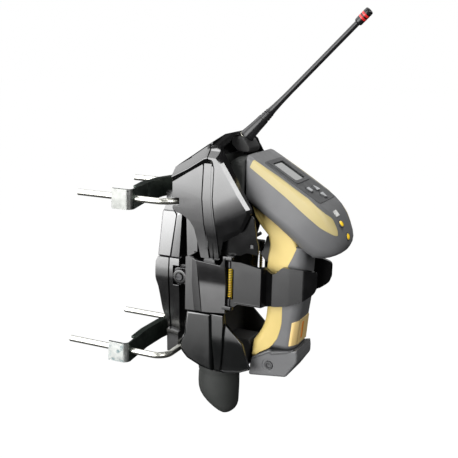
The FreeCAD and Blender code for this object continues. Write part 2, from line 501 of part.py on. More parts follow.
def flat(label, pts, lo, hi, cuts=()):
    """Piece drawn on the reader's upper plane: lo to hi along its outward normal."""
    b = body(label)
    slab(b, XY, pts, lo, hi)
    for shape, a, c in cuts:
        slab(b, XY, shape, a, c, cut=True)
    b.Placement = head
    return b


def rect(x0, x1, y0, y1, r=1.0):
    return [(x0, y0, r), (x1, y0, r), (x1, y1, r), (x0, y1, r)]


DISPLAY = rect(-1.0, 26.0, -12.5, 12.5, 2)
KEYS = {"key_enter": (40.0, -10.0), "key_up": (41.0, 4.5), "key_down": (51.0, 1.5)}
KEY_R = 4.0
holes = [(rect(-1.1, 26.1, -12.6, 12.6, 2), "-4", "2")]
for k, (x, y) in KEYS.items():
    holes.append((("circle", x, y, repr(KEY_R + 0.3)), "-4", "2"))
flat("top_cover", rect(-6, 57, -22, 22, 4), "-dims.cover_thick", "0", holes)
flat("display_window", DISPLAY, "-1.6", "-0.2")
flat("display_module", rect(-0.6, 25.6, -12, 12, 1), "-5.6", "-1.6")
for k, (x, y) in KEYS.items():
    b = body(k)
    slab(b, XY, ("circle", x, y, repr(KEY_R)), "-2.6", "1.4")
    slab(b, XY, ("circle", x, y, "2.0"), "-5.0", "-2.6")
    b.Placement = head
items = []
for pl in LAMPS:
    b = doc.addObject("Part::Cylinder", "lamp")
    b.Radius = 2.8
    b.Height = 3.0
    b.Placement = pl.multiply(Placement(V(0, 0, -2.0), Rotation()))
    items.append(b)
group("status_lenses", items)

for name, side in (("left", -1), ("right", 1)):
    b = body("side_stripe_" + name)
    lo, hi = ("-dims.reader_half-0.6", "-dims.reader_half") if side < 0 else ("dims.reader_half", "dims.reader_half+0.6")
    slab(b, XZ, [(96.6, 109.9, 1), (99.2, 115.8, 1), (122.9, 102.9), (151.0, 84.6, 20), (170.5, 68.6, 20), (179.4, 52.2, 1), (162.4, 62.8, 30), (146.7, 75.6, 30), (122.3, 94.5)], lo, hi)
b = body("rear_label")
slab(b, XZ, LABEL, "-9", "9")

doc.recompute()
bad = [o.Label for o in doc.Objects if "Invalid" in o.State or "Error" in o.State]
if bad:
    raise RuntimeError("failed objects: " + ", ".join(bad))
names = set()
for n in NODES:
    sh = n.Shape
    if sh.isNull() or not sh.isValid() or not sh.Solids:
        raise RuntimeError("bad shape: " + n.Label)
    if n.Label in names:
        raise RuntimeError("two nodes named " + n.Label)
    names.add(n.Label)
for n in NODES:
    n.Shape.exportStep("parts/%s.step" % n.Label)
print(len(NODES), "nodes")
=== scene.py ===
import json
import math

import bmesh
import bpy
from mathutils import Matrix, Vector


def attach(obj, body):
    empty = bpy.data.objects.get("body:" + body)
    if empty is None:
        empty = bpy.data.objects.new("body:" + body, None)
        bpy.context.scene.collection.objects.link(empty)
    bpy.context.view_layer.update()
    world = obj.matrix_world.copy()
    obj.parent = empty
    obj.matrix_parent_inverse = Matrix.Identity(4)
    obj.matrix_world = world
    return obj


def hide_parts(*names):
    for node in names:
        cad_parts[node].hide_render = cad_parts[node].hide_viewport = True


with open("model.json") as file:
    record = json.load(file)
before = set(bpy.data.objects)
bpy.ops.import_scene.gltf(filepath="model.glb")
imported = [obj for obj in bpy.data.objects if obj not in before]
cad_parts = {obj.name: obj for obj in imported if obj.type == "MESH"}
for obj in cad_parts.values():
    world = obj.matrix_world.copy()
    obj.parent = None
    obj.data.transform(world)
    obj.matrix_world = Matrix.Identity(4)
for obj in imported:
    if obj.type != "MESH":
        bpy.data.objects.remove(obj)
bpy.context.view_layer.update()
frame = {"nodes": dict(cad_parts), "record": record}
NODES = frame["nodes"]
BODY_OF = {n: b for b, ns in frame["record"]["behaviour"]["bodies"].items() for n in ns}
scene = bpy.context.scene
MM = 0.001


# ------------------------------------------------------------------ materials
def material(name, a, b, rough, patch=18.0, grain=1800.0, bump=0.12, bump_mm=0.12, metallic=0.0, ior=1.5, coat=0.0,
             coat_rough=0.2, scratch=0.0, spots=None, alpha=None, transmission=0.0, emission=None, stretch=(1, 1, 1), threads=None, painted_shade_zones=None,
             dirt=None, waves=None):
    """Principled material with patchy colour, uneven roughness, fine grain and optional scratches, threads or painted
    shade zones (light and shade painted into the colour along one axis).
    """
    m = bpy.data.materials.new(name)
    m.use_nodes = True
    nt = m.node_tree
    N, L = nt.nodes, nt.links
    p = N["Principled BSDF"]
    p.inputs["Metallic"].default_value = metallic
    p.inputs["IOR"].default_value = ior
    p.inputs["Coat Weight"].default_value = coat
    p.inputs["Coat Roughness"].default_value = coat_rough
    if transmission:
        p.inputs["Transmission Weight"].default_value = transmission
    if emission:
        p.inputs["Emission Color"].default_value = (*emission[:3], 1)
        p.inputs["Emission Strength"].default_value = emission[3]
    tc = N.new("ShaderNodeTexCoord")
    mp = N.new("ShaderNodeMapping")
    mp.inputs["Scale"].default_value = stretch
    L.new(tc.outputs["Object"], mp.inputs["Vector"])
    big = N.new("ShaderNodeTexNoise")
    big.inputs["Scale"].default_value = patch
    big.inputs["Detail"].default_value = 4
    L.new(mp.outputs["Vector"], big.inputs["Vector"])
    ramp = N.new("ShaderNodeValToRGB")
    ramp.color_ramp.elements[0].position = 0.35
    ramp.color_ramp.elements[1].position = 0.68
    ramp.color_ramp.elements[0].color = (*a, 1)
    ramp.color_ramp.elements[1].color = (*b, 1)
    if spots:
        e = ramp.color_ramp.elements.new(spots[0])
        e.color = (*spots[1], 1)
    L.new(big.outputs["Fac"], ramp.inputs["Fac"])
    colour = ramp.outputs["Color"]
    # painted shade: a colour ramp along one object axis multiplies the base colour to stand in for light falling off
    # across a part; no material here passes it
    if painted_shade_zones:
        axis, stops = painted_shade_zones
        sep = N.new("ShaderNodeSeparateXYZ")
        L.new(tc.outputs["Object"], sep.inputs["Vector"])
        mr = N.new("ShaderNodeMapRange")
        mr.inputs["From Min"].default_value = stops[0][0]
        mr.inputs["From Max"].default_value = stops[-1][0]
        L.new(sep.outputs[axis], mr.inputs["Value"])
        zr = N.new("ShaderNodeValToRGB")
        span = stops[-1][0] - stops[0][0]
        zr.color_ramp.elements[0].position = 0
        zr.color_ramp.elements[0].color = (*stops[0][1], 1)
        zr.color_ramp.elements[1].position = 1
        zr.color_ramp.elements[1].color = (*stops[-1][1], 1)
        for at, c in stops[1:-1]:
            e = zr.color_ramp.elements.new((at - stops[0][0]) / span)
            e.color = (*c, 1)
        L.new(mr.outputs["Result"], zr.inputs["Fac"])
        mx = N.new("ShaderNodeMix")
        mx.data_type = "RGBA"
        mx.blend_type = "MULTIPLY"
        mx.inputs[0].default_value = 1.0
        L.new(colour, mx.inputs[6])
        L.new(zr.outputs["Color"], mx.inputs[7])
        colour = mx.outputs[2]
    if dirt:
        dn = N.new("ShaderNodeTexNoise")
        dn.inputs["Scale"].default_value = dirt[0]
        dn.inputs["Detail"].default_value = 8
        dn.inputs["Roughness"].default_value = 0.7
        L.new(tc.outputs["Object"], dn.inputs["Vector"])
        dr = N.new("ShaderNodeValToRGB")
        dr.color_ramp.elements[0].position = dirt[1]
        dr.color_ramp.elements[1].position = dirt[2]
        dr.color_ramp.elements[0].color = (0, 0, 0, 1)
        dr.color_ramp.elements[1].color = (1, 1, 1, 1)
        L.new(dn.outputs["Fac"], dr.inputs["Fac"])
        dm = N.new("ShaderNodeMix")
        dm.data_type = "RGBA"
        L.new(dr.outputs["Color"], dm.inputs[0])
        L.new(colour, dm.inputs[6])
        dc = N.new("ShaderNodeTexNoise")
        dc.inputs["Scale"].default_value = dirt[0] * 4
        L.new(tc.outputs["Object"], dc.inputs["Vector"])
        dcr = N.new("ShaderNodeValToRGB")
        dcr.color_ramp.elements[0].color = (*dirt[3], 1)
        dcr.color_ramp.elements[1].color = (*[min(1, v * 1.5 + 0.02) for v in dirt[3]], 1)
        L.new(dc.outputs["Fac"], dcr.inputs["Fac"])
        L.new(dcr.outputs["Color"], dm.inputs[7])
        colour = dm.outputs[2]
    L.new(colour, p.inputs["Base Color"])
    rn = N.new("ShaderNodeTexNoise")
    rn.inputs["Scale"].default_value = patch * 5
    rn.inputs["Detail"].default_value = 6
    L.new(mp.outputs["Vector"], rn.inputs["Vector"])
    rr = N.new("ShaderNodeMapRange")
    rr.inputs["From Min"].default_value = 0.3
    rr.inputs["From Max"].default_value = 0.7
    rr.inputs["To Min"].default_value = rough[0]
    rr.inputs["To Max"].default_value = rough[1]
    L.new(rn.outputs["Fac"], rr.inputs["Value"])
    L.new(rr.outputs["Result"], p.inputs["Roughness"])
    gn = N.new("ShaderNodeTexNoise")
    gn.inputs["Scale"].default_value = grain
    gn.inputs["Detail"].default_value = 3
    L.new(mp.outputs["Vector"], gn.inputs["Vector"])
    bp = N.new("ShaderNodeBump")
    bp.inputs["Strength"].default_value = bump
    bp.inputs["Distance"].default_value = bump_mm * MM
    L.new(gn.outputs["Fac"], bp.inputs["Height"])
    normal = bp.outputs["Normal"]
    if scratch:
        sm = N.new("ShaderNodeMapping")
        sm.inputs["Scale"].default_value = (40, 900, 40)
        sm.inputs["Rotation"].default_value = (0.5, 0.3, 0.2)
        L.new(tc.outputs["Object"], sm.inputs["Vector"])
        sn = N.new("ShaderNodeTexNoise")
        sn.inputs["Scale"].default_value = 3
        L.new(sm.outputs["Vector"], sn.inputs["Vector"])
        sb = N.new("ShaderNodeBump")
        sb.inputs["Strength"].default_value = scratch
        sb.inputs["Distance"].default_value = 0.05 * MM
        L.new(sn.outputs["Fac"], sb.inputs["Height"])
        L.new(normal, sb.inputs["Normal"])
        normal = sb.outputs["Normal"]
    if waves:
        wm = N.new("ShaderNodeMapping")
        wm.inputs["Rotation"].default_value = waves[1]
        L.new(tc.outputs["Object"], wm.inputs["Vector"])
        wv = N.new("ShaderNodeTexWave")
        wv.wave_type = "BANDS"
        wv.bands_direction = waves[3]
        wv.inputs["Scale"].default_value = waves[0]
        L.new(wm.outputs["Vector"], wv.inputs["Vector"])
        wb = N.new("ShaderNodeBump")
        wb.inputs["Strength"].default_value = waves[2]
        wb.inputs["Distance"].default_value = 0.3 * MM
        L.new(wv.outputs["Fac"], wb.inputs["Height"])
        L.new(normal, wb.inputs["Normal"])
        normal = wb.outputs["Normal"]
    L.new(normal, p.inputs["Normal"])
    return m


PLATE = material("zinc_plate", (0.21, 0.215, 0.205), (0.27, 0.275, 0.262), (0.34, 0.46), metallic=1.0, patch=60, grain=700, bump=0.04, bump_mm=0.05, scratch=0.05)
YPLATE = material("label_plate", (0.78, 0.57, 0.24), (0.84, 0.62, 0.28), (0.40, 0.52), patch=40, bump=0.06)
BLACK = material("black_gloss_plastic", (0.0014, 0.0014, 0.0016), (0.0028, 0.0028, 0.003), (0.15, 0.20), ior=1.85, bump=0.012, grain=1400, bump_mm=0.03)
BRACKET = material("bracket_plastic", (0.002, 0.002, 0.0022), (0.0038, 0.0038, 0.004), (0.14, 0.19), ior=2.3, bump=0.012, grain=1400, bump_mm=0.03)
COLLAR = material("collar_plastic", (0.0022, 0.0022, 0.0024), (0.004, 0.004, 0.0042), (0.17, 0.23), ior=1.9, bump=0.015, grain=1400, bump_mm=0.04)
LOWER = material("lower_plastic", (0.0016, 0.002, 0.002), (0.003, 0.0036, 0.0036), (0.16, 0.22), ior=1.85, bump=0.012, grain=1400, bump_mm=0.03)
LINER = material("liner_plastic", (0.020, 0.020, 0.020), (0.028, 0.028, 0.028), (0.5, 0.62), ior=1.45, bump=0.12, grain=1000, bump_mm=0.06)
JAW = material("jaw_plastic", (0.002, 0.002, 0.0022), (0.0038, 0.0038, 0.004), (0.17, 0.24), ior=1.66, bump=0.012, grain=1400, bump_mm=0.03)
RUBBER = material("rubber_black", (0.026, 0.028, 0.026), (0.036, 0.038, 0.036), (0.58, 0.72), ior=1.45, bump=0.3, grain=1100, bump_mm=0.2)
ZINC = material("zinc_steel", (0.36, 0.37, 0.35), (0.47, 0.48, 0.45), (0.30, 0.42), metallic=1.0, patch=60, grain=700, bump=0.04, bump_mm=0.05, scratch=0.05,
                spots=(0.52, (0.68, 0.69, 0.66)))
ROD = material("zinc_rod", (0.66, 0.66, 0.60), (0.80, 0.80, 0.74), (0.28, 0.38), metallic=1.0, patch=45, grain=700, bump=0.03, bump_mm=0.04)
DARKSTEEL = material("dark_steel", (0.05, 0.05, 0.052), (0.09, 0.09, 0.092), (0.3, 0.42), metallic=1.0, patch=80, grain=1500, bump=0.1)
SPRING = material("spring_yellow", (0.82, 0.50, 0.01), (0.95, 0.66, 0.02), (0.25, 0.4), patch=70, bump=0.08, coat=0.5)
ANTENNA = material("antenna_rubber", (0.009, 0.009, 0.010), (0.015, 0.015, 0.016), (0.22, 0.30), ior=1.45, bump=0.012, grain=1500)
RED = material("band_red", (0.55, 0.010, 0.012), (0.74, 0.022, 0.022), (0.3, 0.45), patch=90, bump=0.1, coat=0.3)
BRASS = material("plated_brass", (0.62, 0.60, 0.52), (0.78, 0.76, 0.68), (0.2, 0.34), metallic=1.0, patch=90, grain=1500, bump=0.1)
GOLD = material("gold_contact", (0.80, 0.56, 0.20), (0.92, 0.68, 0.30), (0.16, 0.3), metallic=1.0, patch=150, bump=0.08)
BOARD = material("circuit_board", (0.010, 0.085, 0.030), (0.020, 0.13, 0.050), (0.35, 0.55), patch=90, grain=700, bump=0.35, bump_mm=0.25)
SHIELD = material("shield_can", (0.55, 0.56, 0.57), (0.68, 0.69, 0.70), (0.28, 0.42), metallic=1.0, patch=70, grain=900, bump=0.08, scratch=0.2)
GREY = material("reader_grey", (0.125, 0.126, 0.129), (0.150, 0.151, 0.154), (0.42, 0.54), patch=25, ior=1.5, bump=0.16, grain=1700)
DARK = material("reader_dark", (0.060, 0.061, 0.063), (0.078, 0.079, 0.081), (0.5, 0.62), patch=30, bump=0.2, grain=1500)
YELLOW = material("reader_yellow", (0.47, 0.39, 0.18), (0.52, 0.43, 0.205), (0.40, 0.52), patch=22, bump=0.14, grain=1500)
GRIP = material("grip_rubber", (0.62, 0.475, 0.16), (0.68, 0.525, 0.19), (0.46, 0.6), patch=22, bump=0.35, grain=1300, bump_mm=0.18)
GLASS = material("display_glass", (0.030, 0.035, 0.034), (0.048, 0.055, 0.052), (0.06, 0.14), patch=40, grain=500, bump=0.02, coat=1.0, coat_rough=0.04)
SCAN = material("scan_glass", (0.06, 0.004, 0.004), (0.10, 0.008, 0.008), (0.05, 0.12), patch=40, grain=500, bump=0.02, coat=1.0, coat_rough=0.04)
AMBER = material("amber_lens", (0.90, 0.55, 0.02), (0.98, 0.68, 0.05), (0.12, 0.22), patch=90, bump=0.05, coat=0.8, emission=(1.0, 0.55, 0.02, 0.12))
KEYPALE = material("key_rubber_pale", (0.42, 0.43, 0.44), (0.52, 0.53, 0.54), (0.48, 0.6), patch=90, bump=0.22, grain=1500)
PRINT = material("legend_print", (0.62, 0.62, 0.60), (0.74, 0.74, 0.72), (0.45, 0.6), patch=120, bump=0.1)
ORANGE = material("label_bar", (0.72, 0.20, 0.02), (0.84, 0.28, 0.03), (0.4, 0.55), patch=120, bump=0.1)
CELL = material("cell_wrap", (0.03, 0.09, 0.30), (0.05, 0.13, 0.38), (0.3, 0.42), patch=60, bump=0.06, coat=0.4)
PATINA = material("strap_steel_worn", (0.58, 0.60, 0.58), (0.76, 0.78, 0.75), (0.32, 0.46), metallic=1.0, patch=55, grain=700, bump=0.06, bump_mm=0.06, scratch=0.06,
                  dirt=(160.0, 0.50, 0.62, (0.20, 0.27, 0.28)))
WEBDARK = material("strap_web_dark", (0.040, 0.052, 0.045), (0.075, 0.092, 0.080), (0.30, 0.44), metallic=0.85, patch=60, grain=700, bump=0.06, bump_mm=0.05)
FLOOR = material("pale_floor", (0.86, 0.86, 0.86), (0.90, 0.90, 0.90), (0.6, 0.75), patch=3, grain=60, bump=0.03)


# ------------------------------------------------------------------ mesh tools
def rounded(pts, k=6):
    """The outline with every corner that has a third number rounded, k steps each."""
    out, n = [], len(pts)
    for i, p in enumerate(pts):
        c = Vector(p[:2])
        r = p[2] if len(p) > 2 else 0
        if not r:
            out.append((c.x, c.y))
            continue
        a, b = Vector(pts[i - 1][:2]) - c, Vector(pts[(i + 1) % n][:2]) - c
        la, lb = a.length, b.length
        a.normalize()
        b.normalize()
        ang = a.angle(b)
        if ang > 3.10:
            out += [(c.x, c.y)] * (k + 1)
            continue
        t = min(r / math.tan(ang / 2), 0.47 * la, 0.47 * lb)
        r = t * math.tan(ang / 2)
        ctr = c + (a + b).normalized() * (r / math.sin(ang / 2))
        v0, v1 = c + a * t - ctr, c + b * t - ctr
        a0, a1 = math.atan2(v0.y, v0.x), math.atan2(v1.y, v1.x)
        d = (a1 - a0 + math.pi) % (2 * math.pi) - math.pi
        out += [(ctr.x + r * math.cos(a0 + d * j / k), ctr.y + r * math.sin(a0 + d * j / k)) for j in range(k + 1)]
    return out


def build(name, verts, faces, mat):
    me = bpy.data.meshes.new(name)
    me.from_pydata([(v[0] * MM, v[1] * MM, v[2] * MM) for v in verts], [], faces)
    bm = bmesh.new()
    bm.from_mesh(me)
    bmesh.ops.remove_doubles(bm, verts=bm.verts, dist=1e-7)
    bmesh.ops.recalc_face_normals(bm, faces=bm.faces)
    bm.to_mesh(me)
    bm.free()
    ob = bpy.data.objects.new(name, me)
    scene.collection.objects.link(ob)
    if mat:
        me.materials.append(mat)
    return ob


def place(plane, p, t):
    if callable(plane):
        return plane(p[0], p[1], t)
    return {"XZ": (p[0], t, p[1]), "XY": (p[0], p[1], t), "YZ": (t, p[0], p[1])}[plane]


def loft(name, rings, mat=None, closed=True, caps=True):
    """Skin over rings of points, all with the same count."""
    n = len(rings[0])
    verts = [v for r in rings for v in r]
    faces = []
    for i in range(len(rings) - 1):
        for j in range(n if closed else n - 1):
            a, b = i * n + j, i * n + (j + 1) % n
            faces.append((a, b, b + n, a + n))
    if caps:
        faces.append(tuple(range(n))[::-1])
        faces.append(tuple((len(rings) - 1) * n + j for j in range(n)))
    return build(name, verts, faces, mat)


def prism(name, pts, lo, hi, mat=None, plane="XZ", k=6):
    q = rounded(pts, k)
    return loft(name, [[place(plane, p, lo) for p in q], [place(plane, p, hi) for p in q]], mat)


def drum(name, prof, mat=None, at=(0, 0, 0), axis=(0, 0, 1), k=64):
    """Turned shape: (radius, height) profile about an axis."""
    rot = Vector((0, 0, 1)).rotation_difference(Vector(axis)).to_matrix()
    rings = []
    for r, h in prof:
        ring = []
        for j in range(k):
            a = 2 * math.pi * j / k
            v = rot @ Vector((max(r, 0.001) * math.cos(a), max(r, 0.001) * math.sin(a), h))
            ring.append((v.x + at[0], v.y + at[1], v.z + at[2]))
        rings.append(ring)
    return loft(name, rings, mat)


def tube(name, path, rad, mat=None, k=20, up=(0, 0, 1)):
    """Round bar along a path; rad may be one number or one for each point."""
    rings = []
    pts = [Vector(p) for p in path]
    prev = None
    for i, c in enumerate(pts):
        d = (pts[min(i + 1, len(pts) - 1)] - pts[max(i - 1, 0)]).normalized()
        if prev is None:
            a = Vector(up).cross(d)
            if a.length < 1e-3:
                a = Vector((1, 0, 0)).cross(d)
        else:
            a = prev - d * prev.dot(d)
        a.normalize()
        prev = a
        b = d.cross(a)
        r = rad[i] if isinstance(rad, (list, tuple)) else rad
        rings.append([tuple(c + (a * math.cos(2 * math.pi * j / k) + b * math.sin(2 * math.pi * j / k)) * r) for j in range(k)])
    return loft(name, rings, mat)


def bake(ob):
    """The object's modifiers applied to its mesh."""
    bpy.context.view_layer.update()
    dg = bpy.context.evaluated_depsgraph_get()
    me = bpy.data.meshes.new_from_object(ob.evaluated_get(dg))
    ob.modifiers.clear()
    old = ob.data
    ob.data = me
    bpy.data.meshes.remove(old)
    return ob


def combine(a, b, op="DIFFERENCE", keep=False):
    m = a.modifiers.new("cut", "BOOLEAN")
    m.object = b
    m.operation = op
    m.solver = "EXACT"
    bake(a)
    if not keep:
        me = b.data
        bpy.data.objects.remove(b)
        bpy.data.meshes.remove(me)
    return a


def tidy(ob):
    bm = bmesh.new()
    bm.from_mesh(ob.data)
    bmesh.ops.remove_doubles(bm, verts=bm.verts, dist=2e-6)
    bmesh.ops.dissolve_limit(bm, angle_limit=math.radians(0.6), verts=bm.verts, edges=bm.edges)
    bm.to_mesh(ob.data)
    bm.free()
    return ob


def soft(ob, w=0.8, k=3, angle=30):
    """Rounded edges and clean shading."""
    for p in ob.data.polygons:
        p.use_smooth = True
    if w:
        m = ob.modifiers.new("edges", "BEVEL")
        m.width = w * MM
        m.segments = k
        m.limit_method = "ANGLE"
        m.angle_limit = math.radians(angle)
    n = ob.modifiers.new("shade", "WEIGHTED_NORMAL")
    n.keep_sharp = True
    n.weight = 60
    return ob


def sharp(ob, angle=35):
    ob.data.shade_smooth()
    ob.data.set_sharp_from_angle(angle=math.radians(angle))
    return ob


def dish(ob, cuts, depth, floor_y=0.0, base=None, full=49.0):
    """Cuts the mesh along planes (point, normal in mm) and draws its outer side faces in by depth(x, z)."""
    bm = bmesh.new()
    bm.from_mesh(ob.data)
    for co, no in cuts:
        bmesh.ops.bisect_plane(bm, geom=bm.verts[:] + bm.edges[:] + bm.faces[:], plane_co=Vector(co) * MM, plane_no=Vector(no))
    for v in bm.verts:
        x, y, z = v.co / MM
        if abs(y) >= floor_y - 1e-3:
            if base is None:
                y1 = abs(y) - depth(x, z)
            else:
                y1 = base + (abs(y) - base) * (1 - depth(x, z) / (full - base))
            v.co.y = math.copysign(max(0.0, y1), y) * MM
    bm.normal_update()
    bm.to_mesh(ob.data)
    bm.free()
    return ob


def level(zs):
    return [((0, 0, z), (0, 0, 1)) for z in zs]


def ramp(stops):
    """Piecewise-linear function through (position, value)."""
    t = sorted(stops)

    def f(v):
        if v <= t[0][0]:
            return t[0][1]
        for (a, p), (b, q) in zip(t, t[1:]):
            if v <= b:
                return p + (q - p) * (v - a) / (b - a)
        return t[-1][1]
    return f


def put(ob, node, slot_name=None, *more):
    """The piece stands for the CAD node (and more of them) and rides on its body."""
    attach(ob, BODY_OF[node])
    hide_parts(node, *more)
    return ob


def mirror_y(ob, name):
    """A copy mirrored through Y = 0."""
    me = ob.data.copy()
    for v in me.vertices:
        v.co.y = -v.co.y
    me.flip_normals()
    c = bpy.data.objects.new(name, me)
    scene.collection.objects.link(c)
    for m in ob.modifiers:
        n = c.modifiers.new(m.name, m.type)
        for a in ("width", "segments", "limit_method", "angle_limit", "keep_sharp", "weight"):
            if hasattr(m, a):
                try:
                    setattr(n, a, getattr(m, a))
                except Exception:
                    pass
    return c


# ------------------------------------------------------------------ pole bracket
ob = soft(prism("bracket_upper_core", [(-1.0, 15.4), (21.6, 15.4), (24.2, 54, 6), (24.5, 64.5), (29.1, 68.5, 1.5), (29.1, 79.4, 2), (6.4, 79.4, 2), (6.3, 67.2, 8), (2.8, 58.4, 20)],
                -19.0, 19.0, BRACKET), 0.8)
seat = drum("t", [(16.75, -100), (16.75, 100)], k=96)
seat2 = prism("t2", [(-20, -16.75), (0, -16.75), (0, 16.75), (-20, 16.75)], -100, 100, plane="XY")


def seated(ob):
    """Pole seat cut out of a bracket piece."""
    combine(ob, seat, keep=True)
    combine(ob, seat2, keep=True)
    return tidy(ob)


ob.modifiers.clear()
soft(seated(ob), 0.7)
put(ob, "bracket_upper", "bracket_plastic")
# side cheek, facet strip: two plates each side, with a crease between them
for s, tag in ((-1, "near"), (1, "far")):
    lo, hi = sorted((s * 17.0, s * 22.0))
    ob = prism("bracket_upper_cheek_" + tag, [(-1.2, 15.2), (12.6, 15.2), (18.3, 56.5, 4), (16.0, 60.5, 3), (3.6, 60.5, 3), (2.6, 58.4, 8)], lo, hi, BRACKET)
    seated(ob)
    dish(ob, [], lambda x, z: max(0.0, z - 15.0) * 0.042, 21.9)
    soft(ob, 1.1, 3)
    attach(ob, "bracket")
    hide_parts("bracket_upper")
    ob = loft("bracket_upper_strip_" + tag, [
        [(12.9, s * 17, 15.2), (12.9, s * 21.6, 15.2), (17.0, s * 21.35, 15.2), (22.0, s * 20.7, 15.2), (22.0, s * 17, 15.2)],
        [(18.6, s * 17, 56.0), (18.6, s * 21.6, 56.0), (21.2, s * 21.35, 57.2), (24.7, s * 20.7, 58.5), (24.7, s * 17, 58.5)],
        [(19.3, s * 17, 61.0), (19.3, s * 20.4, 61.0), (21.6, s * 20.1, 61.8), (24.7, s * 19.4, 62.2), (24.7, s * 17, 62.2)]], BRACKET)
    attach(soft(ob, 0.7), "bracket")
    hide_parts("bracket_upper")

lower_depth = ramp([(-60, 5.6), (-48, 4.8), (-34, 3.7), (-24, 2.7), (-18, 1.95), (-14, 1.4), (-10, 0.9), (-7, 0.55), (-4, 0.28), (0, 0.1), (4, 0.05), (14, 0.5)])


def ramp_z(x, z):
    return lower_depth(z)


ob = prism("bracket_lower_core", [(-1.1, 14.4), (-3.5, 9.2, 6), (-4.0, -8.5, 20), (-1.5, -15.9, 20), (2.2, -39.8, 30), (6.0, -50.5, 5),
                                  (7.5, -54.2, 5), (8.1, -82.1), (20.1, -82.1, 2), (20.1, -64), (21.2, -20), (21.2, -12.6),
                                  (14.6, -12.6), (14.6, 6.6), (21.8, 6.6), (21.8, 14.4)], -15.0, 15.0, BRACKET)
combine(ob, prism("t3b", [(7.6, -58.6, 1), (8.1, -82.1), (20.1, -82.1, 2), (20.1, -64), (20.3, -61.4, 1)], -18.6, 18.6), "UNION")
combine(ob, prism("t3", [(8, -12.5), (25.5, -12.5), (32.1, -8.5, 5), (32.1, 2.5, 5), (25.5, 6.5), (8, 6.5)], -12, 12), "UNION")
combine(ob, drum("t4", [(4.02, -30), (4.02, 30)], at=(23.5, 0, -3), axis=(0, 1, 0), k=48))
soft(seated(ob), 0.7)
put(ob, "bracket_lower", "bracket_plastic")
for s, tag in ((-1, "near"), (1, "far")):
    lo, hi = sorted((s * 14.6, s * 22.0))
    ob = prism("bracket_lower_cheek_" + tag, [(-1.3, 14.0), (-3.7, 9.2, 6), (-4.2, -8.5, 20), (-1.7, -15.9, 20), (2, -39.8, 30), (5.8, -50.5, 5),
                                              (7.3, -54.2, 5), (7.9, -60), (10.2, -60, 1), (9.2, -39), (10.4, 14.0)], lo, hi, BRACKET)
    seated(ob)
    dish(ob, level((-48, -34, -24, -18, -14, -10, -7, -4, 0, 4)), ramp_z, 21.9)
    soft(ob, 1.1, 3)
    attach(ob, "bracket")
    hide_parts("bracket_lower")
    ob = prism("bracket_lower_strip_" + tag, [(10.9, 14.0), (9.8, -39), (10.9, -60), (19.8, -64), (21.0, -20), (21.0, -12.8), (14.9, -12.8), (14.9, 6.8), (21.4, 6.8), (21.4, 14.0)],
               *sorted((s * 14.6, s * 20.9)), BRACKET)
    seated(ob)
    dish(ob, level((-48, -34, -24, -18, -14, -10, -7, -4, 0, 4)), ramp_z, 20.8)
    soft(ob, 0.9, 3)
    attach(ob, "bracket")
    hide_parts("bracket_lower")

ROD_R = 3.0
for name, z, bar, end, R in (("upper", 75.0, 32.6, -72.1, 20.0), ("lower", -75.0, 23.4, -84.4, 13.0)):
    L = 51.65
    path = [(end, -L, z), (end + 0.8, -L, z)]
    path += [(end + 0.8 + (bar - R - end - 0.8) * i / 6, -L, z) for i in range(1, 7)]
    path += [(bar - R + R * math.sin(a), -L + R - R * math.cos(a), z) for a in [math.pi / 2 * i / 10 for i in range(1, 11)]]
    path += [(bar, y, z) for y in (-20, 0, 20)]
    path += [(x, -y, zz) for x, y, zz in path[:18][::-1]]
    rads = [2.3, 3.0] + [ROD_R] * (len(path) - 4) + [3.0, 2.3]
    ob = tube("u_bolt_%s_rod" % name, path, rads, ROD, k=28)
    put(sharp(ob, 30), "u_bolt_" + name, "zinc_steel")


def strap(name, zc, lug, web, ear):
    """Bent strap: V-shaped web, rounded bends and an ear each side."""
    def line(off):
        pts = [(lug - 21, -61.75 + off), (lug + 0.9 - off * 0.9, -61.75 + off, 6.2 - off), (-16.8 - off, -15, 12), (-16.8 - off, 15, 12),
               (lug + 0.9 - off * 0.9, 61.75 - off, 6.2 - off), (lug - 21, 61.75 - off)]
        return pts
    out, inn = line(0), line(2.5)
    q = rounded([(p[0], p[1]) if len(p) == 2 else p for p in out] + [(p[0], p[1]) if len(p) == 2 else p for p in inn[::-1]], 7)
    # web: middle part, ears: the outer parts
    ob = loft("strap_%s_web" % name, [[(p[0], p[1], zc - 9.5) for p in q], [(p[0], p[1], zc + 9.5) for p in q]], web)
    ob.data.materials.append(ear)
    for s in (-1, 1):
        combine(ob, drum("th", [(3.3, -60), (3.3, 20)], at=(0, s * 51.65, zc), axis=(1, 0, 0), k=40))
    tidy(ob)
    ob.data.materials.clear()
    ob.data.materials.append(web)
    ob.data.materials.append(ear)
    for p in ob.data.polygons:
        c = p.center / MM
        if abs(c.y) > 57.5 or (abs(c.y) > 44 and c.x < -30):
            p.material_index = 1
    soft(ob, 0.5, 2)
    put(ob, "strap_" + name, "zinc_steel")
    # stiffening flange across the top
    x1 = -19.0 + (lug + 17.5) * (40 - 15.6) / (59.25 - 15.6)
    fl = prism("strap_%s_flange" % name, [(x1, -40, 2), (-18.9, -15.6, 8), (-18.9, 15.6, 8), (x1, 40, 2), (x1 - 5, 40, 2), (-24, 15.6, 8), (-24, -15.6, 8), (x1 - 5, -40, 2)],
               zc + 7.3, zc + 9.5, web, plane="XY")
    soft(fl, 0.5, 2)
    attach(fl, "bracket")
    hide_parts("strap_" + name)


strap("upper", 75.0, -7.0, WEBDARK, PLATE)
strap("lower", -75.0, -12.0, WEBDARK, PATINA)

